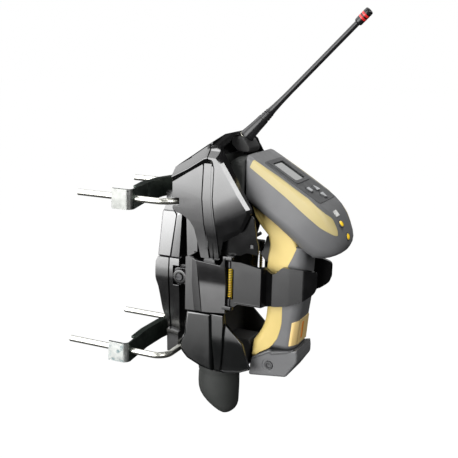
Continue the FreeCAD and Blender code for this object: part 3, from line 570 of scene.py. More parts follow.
# knurled tilt knob with a recessed screw head
ring = []
for j in range(96):
    a = 2 * math.pi * j / 96
    r = 7.2 + 0.28 * math.cos(24 * a)
    ring.append((r * math.cos(a), r * math.sin(a)))
rings = []
for y, k in ((-19.3, 0.90), (-19.7, 0.99), (-20.1, 1.0), (-22.9, 1.0), (-23.3, 0.97), (-23.4, 0.93), (-23.4, 0.62), (-22.7, 0.58)):
    rings.append([(23.5 + p[0] * k, y, -3 + p[1] * k) for p in ring])
put(sharp(loft("tilt_knob_body", rings, JAW), 40), "tilt_knob", "dark_steel")
ob = drum("tilt_bolt_body", [(3.2, -24.6), (4.0, -23.9), (4.0, 23.9), (3.2, 24.6)], DARKSTEEL, at=(23.5, 0, -3), axis=(0, 1, 0), k=48)
combine(ob, prism("t5", [(20.5, -3.5), (26.5, -3.5), (26.5, -2.5), (20.5, -2.5)], -26, -23.6))
put(soft(tidy(ob), 0.25, 2), "tilt_bolt", "dark_steel")
hexa = [(23.5 + 7.45 * math.cos(math.pi / 3 * j), -3 + 7.45 * math.sin(math.pi / 3 * j)) for j in range(6)]
ob = prism("tilt_nut_body", hexa, 19.3, 23.9, DARKSTEEL)
put(soft(ob, 0.7, 3), "tilt_nut", "dark_steel")
bpy.data.objects.remove(seat)
bpy.data.objects.remove(seat2)

# ------------------------------------------------------------------ cradle: head
put(soft(prism("spine_plate", [(29.4, 17), (27.9, 56, 3), (29.5, 62), (40, 62), (40, 23.2), (36.9, 23.2), (36.9, -28), (33, -28), (33, -13.6), (29.6, -13.6), (29.6, 17)],
               -19, -12.5, COLLAR), 0.9), "spine_frame", "cradle_plastic")
ob = soft(prism("spine_plate_far", [(29.4, 17), (27.9, 56, 3), (29.5, 62), (40, 62), (40, 23.2), (36.9, 23.2), (36.9, -28), (33, -28), (33, -13.6), (29.6, -13.6), (29.6, 17)],
                12.5, 19, COLLAR), 0.9)
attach(ob, "cradle")
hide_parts("spine_frame")
ob = soft(prism("spine_web", [(30.4, 8), (28.6, 56, 3), (30.2, 61.4), (39.6, 61.4), (39.6, 23.2), (36.9, 23.2), (36.9, -28), (33.4, -28), (33.4, 8)], -12.6, 12.6, COLLAR), 0.8)
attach(ob, "cradle")
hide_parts("spine_frame")
for s, tag in ((-1, "near"), (1, "far")):
    lo, hi = sorted((s * 12.4, s * 19.0))
    ob = prism("spine_ear_" + tag, [(31, -11), (23.5, -11), (15.5, -10.99, 7.9), (15.5, 4.99, 7.9), (23.5, 5), (31, 5)], lo, hi, COLLAR, k=10)
    combine(ob, drum("t6", [(4.06, -30), (4.06, 30)], at=(23.5, 0, -3), axis=(0, 1, 0), k=48))
    soft(tidy(ob), 0.5, 2)
    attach(ob, "cradle")
    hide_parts("spine_frame")


def fillet_ring(pts, y, k=5):
    """One ring of a head section at y; corners rounded with the same number of steps in every ring."""
    return [(p[0], y, p[1]) for p in rounded(pts, k)]


def head_ring(y, r1, t1, t2, t3, inset=0.0):
    """Rear shell section: rear top corner, two roof points and the roof's front end."""
    i = inset
    return fillet_ring([(27.2 + i, 67.5 + i), (r1[0], r1[1], 4), (t1[0], t1[1], 7), (t2[0], t2[1], 9), t3, (67.3, 24.6 + i), (55.4 + i, 24.6 + i),
                        (53.8 + i, 31.3, 18), (48.9 + i, 52.1, 13), (44.4 + i, 58.8 + i, 7), (37.6, 63 + i, 7), (28.6, 66.4 + i, 1)], y)


def head_shell():
    half = [head_ring(41.2, (27.7, 106.3), (44.4, 116.0), (60.3, 126.9), (63.8, 128.1)),
            head_ring(40.4, (27.8, 106.7), (44.2, 116.7), (60.3, 127.8), (63.8, 129.2)),
            head_ring(38.5, (27.9, 107.2), (43.5, 117.8), (60.2, 129.4), (63.9, 131.2)),
            head_ring(15.0, (28.2, 107.4), (41.5, 119.0), (60, 133.5), (64.0, 136.0))]
    rings = [[(x, -y, z) for x, y, z in r] for r in half] + half[::-1]
    return loft("head_rear_core", rings, BLACK)


ob = head_shell()
cav = prism("t7", [(42.6, 64.5), (42.6, 96), (46, 103), (60.8, 112.0), (75, 116), (75, 27.2), (57.6, 27.2), (56.2, 32, 18), (51.4, 53.4, 12), (46.5, 61.5, 6)], -40.0, 40.0)
combine(ob, cav)
for h, a in ((46.0, (20, 70.6, 38.8, 79.4)), (24.0, (20, 50, 33.2, 84.5)), (19.2, (20, 50, 40.2, 62.2))):
    combine(ob, prism("t8", [(a[0], a[1]), (a[2], a[1]), (a[2], a[3]), (a[0], a[3])], -h, h))
combine(ob, prism("t8b", [(20, 71.6), (31.8, 71.6, 2), (31.8, 78.4, 2), (20, 78.4)], -60, 60))
dish(tidy(ob), level((30, 36, 42)), lambda x, z: max(0.0, 42.0 - z) * 0.12, 41.1)
soft(ob, 0.8, 3)
put(ob, "head_rear_shell", "cradle_plastic")
ob = soft(prism("head_neck", [(56.5, 25.5), (67.3, 25.5), (67.3, 10), (53, 10), (54.6, 20)], -36.5, 36.5, BLACK), 1.0)
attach(ob, "cradle")
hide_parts("head_rear_shell")
for s, tag in ((-1, "near"), (1, "far")):
    # recessed side panel in two parts, under an overhanging band
    lo, hi = sorted((s * 40.5, s * 46.4))
    ob = prism("head_side_panel_" + tag, [(27.3, 67.9), (27.5, 93.6), (43.9, 104.0), (57.4, 112.2), (58.3, 110.0, 2), (56.9, 81.0), (58.6, 57.3), (64.0, 25.0), (55.5, 25.0),
                                          (53.9, 31.3, 18), (49.0, 52.1, 13), (44.5, 59.0, 7), (37.7, 63.2, 7), (28.7, 66.6, 1)], lo, hi, BLACK)
    notch = [(20, s * 60), (29.0, s * 60), (34.2, s * 46.4), (38.0, s * 41.0), (38.8, s * 30), (20, s * 30)]
    combine(ob, prism("t9", notch if s < 0 else notch[::-1], 71.2, 78.8, plane="XY"))
    tidy(ob)
    dish(ob, level((30, 40, 50, 60, 70, 80, 90)), lambda x, z: min(3.8, 0.00105 * max(0.0, 98.0 - z) ** 2), 46.3)
    soft(ob, 0.8, 3)
    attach(ob, "cradle")
    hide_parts("head_rear_shell")
    ob = prism("head_panel_front_" + tag, [(59.0, 113.0), (67.0, 113.0), (67.4, 108.0), (66.6, 81.8), (69.8, 54.0), (73.6, 25.4), (64.8, 25.4), (59.3, 57.3), (57.6, 81.0), (58.9, 110.0)], lo, hi, BLACK)
    sink = ramp([(25, 5.0), (34, 4.3), (42, 3.3), (50, 2.1), (60, 0.9), (72, 0.28), (84, 0.05), (96, 0.0)])
    dish(ob, level((30, 34, 38, 42, 46, 50, 55, 60, 66, 72, 80, 88)), lambda x, z: sink(z), 46.3)
    soft(ob, 0.8, 3)
    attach(ob, "cradle")
    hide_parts("head_front_hood")

    ob = prism("head_rib_" + tag, [(66.7, 111.6), (69.9, 110.4, 1), (69.0, 82), (71.2, 59.8), (73.4, 38), (74.0, 26), (72.2, 26), (71.0, 40), (69.2, 54.0), (66.3, 81.8)],
               *sorted((s * 42.0, s * 47.8)), BLACK)
    dish(ob, level((30, 34, 38, 42, 46, 50, 55, 60, 66, 72, 80, 88)), lambda x, z: sink(z), 47.7)
    soft(ob, 0.9, 4)
    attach(ob, "cradle")
    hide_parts("head_front_hood")

    def row(y, t, b):
        q = t + b[::-1]
        return [(x, s * y, z) for x, z in q]
    ob = loft("head_band_" + tag, [
        row(40.9, [(27.7, 106.7), (44.4, 116.4), (60.2, 127.2), (63.7, 128.4)], [(27.7, 92.4), (44.0, 102.8), (57.8, 111.0), (63.5, 113.0)]),
        row(45.9, [(27.65, 101.8), (44.4, 111.0), (60.2, 121.6), (63.7, 122.8)], [(27.7, 92.6), (44.0, 103.0), (58.0, 111.3), (63.5, 113.4)]),
        row(49.0, [(27.6, 98.6), (44.2, 107.4), (60.2, 117.8), (63.6, 118.9)], [(27.6, 97.2), (44.2, 106.0), (60.2, 116.3), (63.5, 117.3)])], BLACK)
    soft(ob, 0.5, 3, 20)
    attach(ob, "cradle")
    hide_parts("head_rear_shell")
    full = [(63.9, 113.2), (66.2, 113.0, 2.6), (67.4, 108.0), (66.2, 81.8), (69.2, 54.0), (71.6, 38.0), (73.2, 25.4), (77.3, 41.6, 3), (95.9, 52.8, 6), (105, 71, 3), (104.4, 75.4, 3),
            (76.2, 118.0), (73.0, 121.2), (64.2, 121.4)]
    deep = full[:-3] + [(76.9, 122.2), (73.8, 126.2), (64.2, 126.6)]
    face = [(64.1, 117.2), (68.6, 116.6, 4.0), (70.6, 108.8), (69.6, 82.0), (72.0, 58.0), (74.8, 40.5), (75.6, 31.5), (78.6, 45.0, 3), (94.4, 56.4, 6), (101.9, 71.4, 3), (101.4, 74.4, 3),
            (73.4, 116.4), (71.6, 118.2), (64.1, 118.6)]

    def ringed(pts, y):
        return [(p[0], s * y, p[1]) for p in rounded(pts, 5)]
    ob = loft("head_hood_side_" + tag, [ringed(deep, 41.2), ringed(full, 46.2), ringed(face, 49.0)], BLACK)
    # the face rolls under below a slanting line
    n = Vector((-0.458, 0, 0.889))
    cuts = [(Vector((88, 0, 71.5)) + n * t, n) for t in (-40, -34, -29, -24, -20, -16, -12, -8, -5, -2, 1, 4, 7, 10, 13, 18, 23, 28, 33, 38, 43)]

    def roll(x, z):
        t = -(Vector((x - 88, 0, z - 71.5)).dot(n))
        if t < -14:
            return 0.0
        if t < 8:
            return 0.5 * 0.21 * (t + 14) ** 2 / 22
        return min(7.2, 0.5 * 0.21 * 22 + 0.21 * (t - 8))
    dish(ob, cuts + level((30, 36, 42, 48)), roll, 41.3, 41.0)
    soft(ob, 0.7, 3, 22)
    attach(ob, "cradle")
    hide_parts("head_front_hood")


def hood_ring(y, t0, t1, t2, m, back=0.0, low=0.0):
    """Hood section: roof points, then the mouth's sloping edge, tip and floor."""
    return fillet_ring([(67.9, 24.8 + low), t0, t1, t2, m, (104.4 - back, 75.4 - back * 0.2, 3), (105 - back, 71 + low, 3), (95.9 - back * 0.8, 52.8 + low, 6), (77.4, 41.8 + low, 3), (74.4, 24.8 + low)], y)


half = [hood_ring(43.6, (64.4, 124.2), (69.6, 125.0), (73.3, 123.8), (76.0, 119.2), 0.4, 0.4),
        hood_ring(43.0, (64.4, 126.0), (70.0, 127.0), (73.6, 125.6), (76.4, 120.4), 0.0, 0.0),
        hood_ring(41.6, (64.4, 128.4), (70.4, 129.6), (73.6, 128.2), (75.6, 122.6), 0.0, 0.0),
        hood_ring(15.0, (64.6, 136.4), (74.2, 138.8), (77.4, 133.4), (75.2, 124.0), 0.0, 0.0)]
rings = [[(x, -y, z) for x, y, z in r] for r in half] + half[::-1]
ob = loft("head_hood", rings, BLACK)
inner = []
for y, zt in ((41.0, 113.0), (38.0, 125.5), (15.0, 134.4)):
    inner.append([(60, y, 31.2), (60, y, zt), (90, y, zt + 3), (125, y, zt - 25), (125, y, 31.2)])
combine(ob, loft("t10", [[(x, -y, z) for x, y, z in r] for r in inner] + inner[::-1]))
combine(ob, drum("t11", [(7.3, 0.4), (7.3, 30)], at=(76.8, 0, 131.2), axis=(0.6947, 0, 0.7193)))
dish(tidy(ob), cuts + level((30, 34, 38, 42, 46, 50)), lambda x, z: max(0.0, min(2.3, max(sink(z) - 1.5, roll(x, z) - 4.2))), 43.5)
soft(ob, 0.9, 3, 24)
put(ob, "head_front_hood", "cradle_plastic")
ob = soft(prism("head_hood_floor", [(67.9, 27.4), (74.6, 28), (85.3, 35.5, 1), (83.7, 38.4, 1), (73.5, 31.3), (67.9, 31.3)], -32.5, 32.5, BLACK), 0.6)
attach(ob, "cradle")
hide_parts("head_front_hood")

for s, tag in ((-1, "near"),):
    ob = prism("head_mouth_wall_" + tag, [(73.4, 27.8), (74.6, 40.5), (82.0, 46.4, 2), (95.9, 54.8, 4), (104.4, 70.0, 2), (106.4, 66.0, 2), (108.0, 46.5, 2), (109.6, 41.0, 2), (109.3, 31.6, 2),
                                          (98.0, 32.8, 2), (92.0, 29.6, 2), (82.4, 28.4)], *sorted((s * 38.6, s * 41.0)), BLACK)
    combine(ob, prism("t9b", [(101.6, 38.2), (104.8, 38.2, 0.5), (104.8, 41.6, 0.5), (101.6, 41.6, 0.5)], *sorted((s * 40.4, s * 43))))
    dish(tidy(ob), level((34, 46, 60)), lambda x, z: 0.15 * (72.0 - z))
    soft(ob, 0.7, 2)
    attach(ob, "cradle")
    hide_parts("head_front_hood")
    ob = prism("head_mouth_mark_" + tag, [(101.9, 38.5), (104.5, 38.5, 0.4), (104.5, 41.3, 0.4), (101.9, 41.3, 0.4)], *sorted((s * 40.0, s * 40.9)), GREY)
    dish(ob, [], lambda x, z: 0.15 * (72.0 - z))
    soft(ob, 0.2, 2)
    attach(ob, "cradle")
    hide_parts("head_front_hood")

# boss under the antenna: smooth dome over the hood's rim
dome = []
for y, k in ((12.5, 0.78), (12.2, 0.86), (11.2, 0.93), (9.0, 0.98), (4.0, 1.0)):
    pts = [(76.3, 120.6, 3), (69.2, 127, 2), (68.4, 134.6, 1.5), (76.4, 134.8, 2), (81.2, 134.2, 3), (85.0, 130.6, 3), (89, 124.5, 3), (88.4, 119.9, 3)]
    cx, cz = 78.5, 127.6
    dome.append([(cx + (p[0] - cx) * k, y, cz + (p[1] - cz) * k) for p in rounded(pts, 5)])
ob = loft("antenna_boss_dome", [[(x, -y, z) for x, y, z in r] for r in dome] + dome[::-1], LINER)
combine(ob, drum("t12", [(7.1, 0.55), (7.1, 30)], at=(76.8, 0, 131.2), axis=(0.6947, 0, 0.7193)))
soft(tidy(ob), 0.5, 2)
put(ob, "antenna_boss", "cradle_plastic")

# ------------------------------------------------------------------ antenna
AX = (0.6947, 0, 0.7193)
A0 = (76.8, 0, 131.2)
ob = sharp(drum("antenna_socket_ring", [(4.4, -2.2), (4.4, 0.6), (6.6, 0.6), (7.0, 1.0), (7.0, 3.2), (6.6, 3.6), (2.2, 3.6), (2.2, 8.6), (0, 8.6)], BRASS, A0, AX), 30)
put(ob, "antenna_socket", "brass_plated")
prof = [(2.25, 3.9), (6.3, 3.9), (6.6, 4.3), (6.55, 5.2), (6.2, 7.6), (5.4, 17), (4.85, 27.2), (4.6, 28.0), (4.2, 28.3), (4.2, 29.4), (4.6, 29.8), (4.6, 30.8), (4.1, 31.1), (4.1, 32.0),
        (4.4, 32.4), (4.4, 33.3), (3.95, 33.6), (3.95, 34.5), (4.2, 34.9), (4.15, 35.8), (3.75, 36.6), (3.4, 40), (3.1, 45), (2.9, 49), (0, 49)]
put(sharp(drum("antenna_base_cone", prof, ANTENNA, A0, AX), 34), "antenna_base", "antenna_rubber")
put(sharp(drum("antenna_rod", [(2.2, 48.9), (2.9, 48.9), (2.7, 55), (2.55, 62), (2.48, 90), (2.4, 146.6), (0, 146.7)], ANTENNA, A0, AX), 34), "antenna_whip", "antenna_rubber")
prof = [(2.0, 146.0), (3.0, 146.3), (3.5, 146.9), (3.7, 148.0), (3.75, 151.2), (3.45, 151.2), (3.45, 153.4), (3.75, 153.4), (3.75, 154.6), (3.45, 154.6), (3.45, 156.8), (3.75, 156.8),
        (3.75, 159.8), (3.4, 160.7), (2.8, 161.0), (2.0, 160.9), (1.8, 160.2), (0, 160.2)]
put(sharp(drum("antenna_cap", prof, ANTENNA, A0, AX), 34), "antenna_tip", "antenna_rubber")
for i, (lo, hi) in enumerate(((151.2, 153.4), (154.6, 156.8))):
    ob = sharp(drum("antenna_band_%d" % (i + 1), [(3.3, lo), (3.72, lo + 0.05), (3.82, lo + 0.4), (3.82, hi - 0.4), (3.72, hi - 0.05), (3.3, hi)], RED, A0, AX), 50)
    put(ob, "antenna_bands", "band_red")

# ------------------------------------------------------------------ cradle: collar
prof = [(37.3, -29), (37.3, 22.6, 1), (41.1, 23.4, 1), (49.8, 20.3), (73.9, 18.5), (79.3, 27.6, 1), (79.6, -26.6), (64.5, -28.2)]
ob = soft(prism("collar_core", prof, -37.3, 37.3, COLLAR), 0.5)
ob.modifiers.clear()
combine(ob, prism("t13", [(40, -37), (76.2, -37), (76.2, 37), (40, 37)], -20, 40, plane="XY"))
combine(ob, prism("t14", [(70, 24.9), (90, 24.9), (90, 30), (70, 30)], -30, 30))
soft(tidy(ob), 0.5, 2)
put(ob, "collar_housing", "cradle_plastic")
for s, tag in ((-1, "near"), (1, "far")):
    # main face, then the rear facet that turns away along a slanting crease
    flare = ramp([(-28, 1.2), (-20, 1.45), (-10, 1.75), (-4, 1.95), (-1, 2.05), (1, 2.0), (3, 1.8), (6, 1.4), (10, 0.85), (15, 0.2), (20, -0.4), (27, -0.5)])
    def lean(x, y, z):
        return (x, s * y, z)
    front = [(49.2, 21.2), (55.2, -28.6), (64.5, -28.0), (79.4, -26.4), (79.1, 27.2), (78.2, 26.6), (74.0, 19.2)]
    ob = loft("collar_face_" + tag, [[lean(x, 36.0, z) for x, z in front], [lean(x, 40.0, z) for x, z in front]], COLLAR)
    dish(ob, level((-20, -10, -4, -1, 1, 3, 6, 10, 15)), lambda x, z: flare(z), 39.9)
    soft(ob, 0.9, 3)
    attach(ob, "cradle")
    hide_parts("collar_housing")
    rear_in = [(37.5, 22.5), (41.1, 23.2), (49.0, 20.6), (54.9, -28.6), (37.5, -28.8)]
    yy = [35.6, 36.4, 38.6, 38.6, 35.8]
    ob = loft("collar_rear_facet_" + tag, [[lean(x, 34.0, z) for x, z in rear_in], [lean(x, y, z) for (x, z), y in zip(rear_in, yy)]], COLLAR)
    soft(ob, 0.6, 2)
    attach(ob, "cradle")
    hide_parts("collar_housing")
    for i, (lo, hi) in enumerate(((24.9, 28.3), (-22.4, -18.9))):
        lug = [(76.3, s * 39.6), (76.3, s * 31), (82, s * 31), (86.4, s * 33, 2), (86.4, s * 39.4, 2)]
        ob = prism("hinge_lug_%s_%d" % (tag, i), lug, lo, hi, COLLAR, plane="XY")
        combine(ob, drum("t15", [(1.22, -40), (1.22, 40)], at=(83, s * 36, 0), k=24))
        soft(tidy(ob), 0.4, 2)
        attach(ob, "cradle")
        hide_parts("collar_housing")

# ------------------------------------------------------------------ cradle: lower housing and cup
pts = [(38.2, -29.6), (35.3, -53.8, 10), (31, -62.6, 6), (32.2, -71.6, 6), (38.9, -78.5, 8), (53.3, -84.4), (66.0, -87.0), (64.2, -29.6)]


def inset(pts, d):
    """The outline moved in by d; expects it clockwise or anticlockwise, mostly convex."""
    q = [Vector(p[:2]) for p in pts]
    area = sum(q[i - 1].x * q[i].y - q[i].x * q[i - 1].y for i in range(len(q)))
    sgn = 1 if area > 0 else -1
    out = []
    for i, p in enumerate(q):
        e0, e1 = (p - q[i - 1]).normalized(), (q[(i + 1) % len(q)] - p).normalized()
        n0, n1 = Vector((-e0.y, e0.x)) * sgn, Vector((-e1.y, e1.x)) * sgn
        b = (n0 + n1)
        b.normalize()
        m = d / max(0.35, b.dot(n0))
        out.append((p.x + b.x * m, p.y + b.y * m) + tuple(pts[i][2:]))
    return out


def shelled(name, pts, half, mat, steps, k=5):
    """Outline swept across Y with a rounded shoulder: steps of (inset, distance in from the side)."""
    rings = []
    for d, t in steps:
        rings.append([(p[0], half - t, p[1]) for p in rounded(inset(pts, d), k)])
    return loft(name, [[(x, -y, z) for x, y, z in r] for r in rings] + rings[::-1], mat)


ob = shelled("lower_rear_body", pts, 37.0, LOWER, ((3.2, 0), (1.6, 0.5), (0.5, 1.6), (0, 3.4)))
combine(ob, drum("t16", [(17.6, -120), (17.6, -70)], at=(57, 0, 0)))
soft(tidy(ob), 0.4, 2)
put(ob, "lower_rear_shell", "cradle_plastic")
cup = [(64.9, -29.6), (66.8, -87.4), (76.2, -87.8), (93.3, -84.3), (103.3, -79.8, 1.5), (97.6, -65.1, 4), (94.9, -55.9, 4), (77.2, -38.8, 3), (76, -29.6)]
ob = shelled("lower_cup", cup, 33.0, LOWER, ((1.1, 0), (0.35, 0.35), (0, 1.1)))
combine(ob, prism("t17", [(69.4, -31), (69.6, -84.9), (92.3, -82), (120, -78), (120, -25), (82, -25), (76.2, -28.2)], -30, 30))
combine(ob, prism("t18", [(92.3, -95), (120, -95), (120, -70), (92.3, -70)], -30, 30))
tidy(ob)
ob.data.materials.append(LINER)
for p in ob.data.polygons:
    c = p.center / MM
    if abs(c.y) < 30.4 and c.x > 69 and p.normal.z > -0.5:
        p.material_index = 1
wing = ramp([(-90, 2.5), (-80, 2.1), (-72, 1.5), (-66, 0.95), (-60, 0.4), (-56, 0.12), (-54, 0.05), (-50, 0.15), (-44, 0.6), (-36, 1.3), (-28, 2.0)])
dish(ob, level((-84, -80, -76, -72, -69, -66, -63, -60, -57, -54, -50, -44, -36)), lambda x, z: wing(z), 32.9)
soft(ob, 0.7, 3)
put(ob, "lower_front_cup", "cradle_plastic")
# drawn-out side wall between the two housings
for s, tag in ((-1, "near"), (1, "far")):
    lo, hi = sorted((s * 31.0, s * 36.0))
    ob = prism("lower_cup_cheek_" + tag, [(63.6, -30.0), (75.9, -30.0), (76.6, -40.0), (75.8, -60.0), (73.0, -86.8), (66.5, -87.0)], lo, hi, LOWER)
    dish(ob, level((-84, -80, -76, -72, -69, -66, -63, -60, -57, -54, -50, -44, -36)), lambda x, z: (1.2 if z < -54 else 0.3) * wing(z), 35.9)
    soft(ob, 0.9, 3)
    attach(ob, "cradle")
    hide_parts("lower_front_cup")
put(soft(prism("charge_block", [(69.8, -80), (69.8, -58), (93, -58, 2), (95.4, -61, 1), (95.4, -77, 1), (93, -80, 2)], -13, 13, LINER), 0.8), "contact_block", "liner_plastic")
for i, y in enumerate((-7.5, -2.5, 2.5, 7.5)):
    ob = sharp(drum("charge_pin_%d" % (i + 1), [(0.9, 95.3), (0.9, 96.7), (0.7, 97.05), (0.35, 97.2), (0, 97.2)], GOLD, (0, y, -68), (1, 0, 0), 24), 40)
    put(ob, "contact_pins", "brass_plated")

# boot: round at the top, drawn to its front at the bottom, with a fold line under the flange
rings = []
for z, xl, xr in ((-88.2, 36.4, 77.6), (-96.0, 36.4, 77.6), (-98.0, 36.9, 77.2), (-99.2, 37.3, 76.9), (-101.0, 36.7, 77.3), (-110, 36.5, 77.5), (-115.5, 36.9, 77.5), (-120.5, 38.4, 77.4), (-125, 41.4, 77.3),
                  (-129, 45.4, 77.2), (-132, 49.2, 77.0), (-135, 53.4, 76.2), (-137.5, 57.4, 74.8), (-139.4, 61.2, 72.8), (-140.5, 64.6, 70.6)):
    cx, rx = (xl + xr) / 2, (xr - xl) / 2
    ry = 20.6 * min(1.0, (rx / 20.6) ** 0.55)
    rings.append([(cx + rx * math.cos(2 * math.pi * j / 64), ry * math.sin(2 * math.pi * j / 64), z) for j in range(64)])
ob = loft("cable_boot_body", rings, RUBBER)
combine(ob, drum("t19", [(5.2, -150), (5.2, -112), (17.6, -105), (17.6, -80)], at=(57, 0, 0)))
combine(ob, drum("t20", [(6.6, -150), (6.6, -132)], at=(57, 0, 0)))
soft(tidy(ob), 0.5, 2, 40)
put(ob, "cable_boot", "rubber_black")

# ------------------------------------------------------------------ jaws
def jaw(s, tag):
    plan = [(84.6, 34.6), (88, 35.2), (111.4, 34.8, 2), (113.6, 28.4, 2), (119, 24.9, 4), (134, 24.4, 60), (149, 23.0, 30), (160.6, 19.9, 0),
            (162, 21.8, 1), (151.5, 27.0, 14), (136, 28.6, 40), (120.5, 28.4, 4), (116.4, 31.2, 2), (114.6, 38.2, 1.5), (88, 39.2), (84.6, 38.6)]
    ob = prism("jaw_%s_blade" % tag, [((p[0], s * p[1]) + tuple(p[2:])) for p in plan], -18.3, 24.3, JAW, plane="XY", k=7)
    side = prism("t21", [(80, -18.4), (88, -18.4), (92, -15.4), (118, -15.6), (123.8, -15.9, 20), (138.2, -12.7, 20), (150.4, -7.0, 10), (158.6, -0.5, 10), (161.6, 7.4, 8), (161.4, 20.2, 4),
                         (151.8, 21.6), (137.6, 21.8), (130.5, 22.3, 4), (121.3, 12.9, 6), (115.5, 20.4), (88, 25.5), (80, 25.5)], -60, 60, k=8)
    combine(ob, side, "INTERSECT")
    combine(ob, prism("t22", [(80, -11.8), (87.6, -11.8, 1.5), (87.6, 17.4, 1.5), (80, 17.4)], -60, 60))
    tidy(ob)
    soft(ob, 0.7, 3, 26)
    put(ob, "jaw_" + tag, "jaw_plastic")
    for i, (lo, hi) in enumerate(((17.5, 24.3), (-18.3, -11.9))):
        kn = drum("jaw_%s_knuckle_%d" % (tag, i), [(2.7, lo), (3.1, lo + 0.4), (3.1, hi - 0.4), (2.7, hi)], JAW, (83, s * 36, 0), k=32)
        combine(kn, drum("t23", [(1.25, -40), (1.25, 40)], at=(83, s * 36, 0), k=24))
        sharp(kn, 35)
        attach(kn, "jaw_" + tag)
        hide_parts("jaw_" + tag)
    # raised edge rib of the flat plate
    rib = prism("jaw_%s_rib" % tag, [(88.4, s * 38.6), (114.0, s * 37.7), (114.0, s * 38.5), (88.4, s * 39.5)], -14.6, -13.4, JAW, plane="XY")
    soft(rib, 0.3, 2)
    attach(rib, "jaw_" + tag)
    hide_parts("jaw_" + tag)


jaw(-1, "near")
jaw(1, "far")
for s, tag in ((-1, "near"), (1, "far")):
    path = []
    turns = 12
    for j in range(turns * 16 + 1):
        a = 2 * math.pi * j / 16
        path.append((83 + 1.6 * math.cos(a), s * 36 + 1.6 * math.sin(a), -11.1 + 27.6 * j / (turns * 16)))
    ob = tube("jaw_%s_spring" % tag, path, 0.42, SPRING, k=10)
    put(sharp(ob, 60), "jaw_spring_" + tag, "spring_steel")
for s, tag in ((-1, "near"), (1, "far")):
    ob = sharp(drum("jaw_pin_" + tag, [(0.8, -22.4), (1.2, -22.0), (1.2, 27.9), (0.8, 28.3)], DARKSTEEL, (83, s * 36, 0), k=32), 35)
    put(ob, "jaw_hinge_pins", "dark_steel")

# ------------------------------------------------------------------ reader
TILT = math.radians(30.5)
CT, ST = math.cos(TILT), math.sin(TILT)
TOP0 = (111.3, 111.5)


def up(s, w):
    """XZ of a point s along the reader's upper plane and w out of it."""
    return (TOP0[0] + s * CT + w * ST, TOP0[1] - s * ST + w * CT)


def head_frame(a, b, t):
    """Plane coordinates (s, y) and height w to space."""
    x, z = up(a, t)
    return (x, b, z)


def section(s0, s1, top, bot, half, rt, rb, off=0.0, crown=1.2, k=6):
    """Rounded section of the reader's head. s runs from s0 at the top to s1 at the bottom."""
    top, bot, half = top + off, bot - off, half + off
    out = []
    for cy, cw, r, a0 in ((half - rt, top - rt, rt, 0), (-(half - rt), top - rt, rt, 90), (-(half - rb), bot + rb, rb, 180), (half - rb, bot + rb, rb, 270)):
        for j in range(k + 1):
            a = math.radians(a0 + 90 * j / k)
            y, w = cy + r * math.cos(a), cw + r * math.sin(a)
            out.append((y, w))
        if a0 == 0:
            for q in (0.5, 0.0, -0.5):
                out.append((q * (half - rt), top + crown * (1 - q * q)))
        if a0 == 90:
            out.append((-half, (top - rt + bot + rb) / 2))
        if a0 == 180:
            for q in (-0.5, 0.0, 0.5):
                out.append((q * (half - rb), bot))
        if a0 == 270:
            out.append((half, (top - rt + bot + rb) / 2))
    res = []
    for y, w in out:
        f = (top - w) / (top - bot)
        s = s0 + (s1 - s0) * f
        x, z = up(s, w)
        res.append((x, y, z))
    return res


HEAD_STEPS = [(-20.9, -0.3, -2.2, -36.2, 28.2, 3.5, 5), (-20.0, 0.8, -1.0, -37.2, 29.4, 4.2, 7), (-17.0, 3.0, -0.3, -38.2, 30.0, 4.5, 9), (-6.0, 10.0, -0.1, -39.2, 30.0, 4.5, 10),
              (10.0, 22.0, -0.1, -40.0, 30.0, 4.6, 11), (30.0, 34.0, -0.1, -41.0, 30.0, 5.0, 12), (48.0, 50.0, -0.1, -43.2, 29.8, 6.0, 13), (57.0, 60.0, -0.4, -45.2, 29.2, 7.5, 14),
              (66.0, 70.0, -1.6, -46.8, 27.8, 9, 14), (75.0, 78.0, -4.6, -46.8, 25.8, 11, 13), (82.5, 84.0, -8.6, -43.6, 22.8, 10, 12), (88.5, 89.0, -12.6, -39.0, 19.0, 8, 9),
              (92.6, 92.6, -16.2, -34.4, 14.6, 5.5, 6), (95.0, 94.8, -19.6, -30.8, 9.8, 3.6, 3.6), (96.0, 95.8, -22.6, -28.2, 5.0, 2.0, 2.0)]


def head_loft(name, off, mat):
    return loft(name, [section(*st, off=off, crown=0.0) for st in HEAD_STEPS], mat)




shell = head_loft("reader_head_shell", 0.0, GREY)
combine(shell, prism("r1", [(-6.1, -22.1, 4), (57.1, -22.1, 4), (57.1, 22.1, 4), (-6.1, 22.1, 4)], -2.5, 6, plane=head_frame))
soft(tidy(shell), 0.5, 2, 32)
put(shell, "reader_shell_left", "reader_grey", "reader_shell_right")

# yellow side stripes, half a millimetre proud of the shell
STRIPE = [(96.4, 110.4, 1), (99.6, 117.2, 1), (124.5, 103.2), (151.8, 86.6, 20), (172.2, 70.2, 20), (181.2, 52.6, 2), (163.4, 62.4, 30), (147.6, 74.4, 30), (130.4, 87.4), (112.4, 99.6)]
for s, tag in ((-1, "left"), (1, "right")):
    ob = head_loft("reader_stripe_" + tag, 0.45, YELLOW)
    lo, hi = sorted((s * 20.0, s * 34.0))
    combine(ob, prism("r2", STRIPE, lo, hi, k=6), "INTERSECT")
    soft(tidy(ob), 0.25, 2, 40)
    put(ob, "side_stripe_" + tag, "reader_yellow")

# handle: yellow front half, grey back half, both oval in section
zl = [38, 30, 21.4, 13, 5, -6, -17, -25, -32.3, -41, -49, -54.5, -59.2]


def lerp(table, z):
    t = sorted(table)
    if z <= t[0][0]:
        return t[0][1]
    for (a, x), (b, y) in zip(t, t[1:]):
        if z <= b:
            return x + (y - x) * (z - a) / (b - a)
    return t[-1][1]


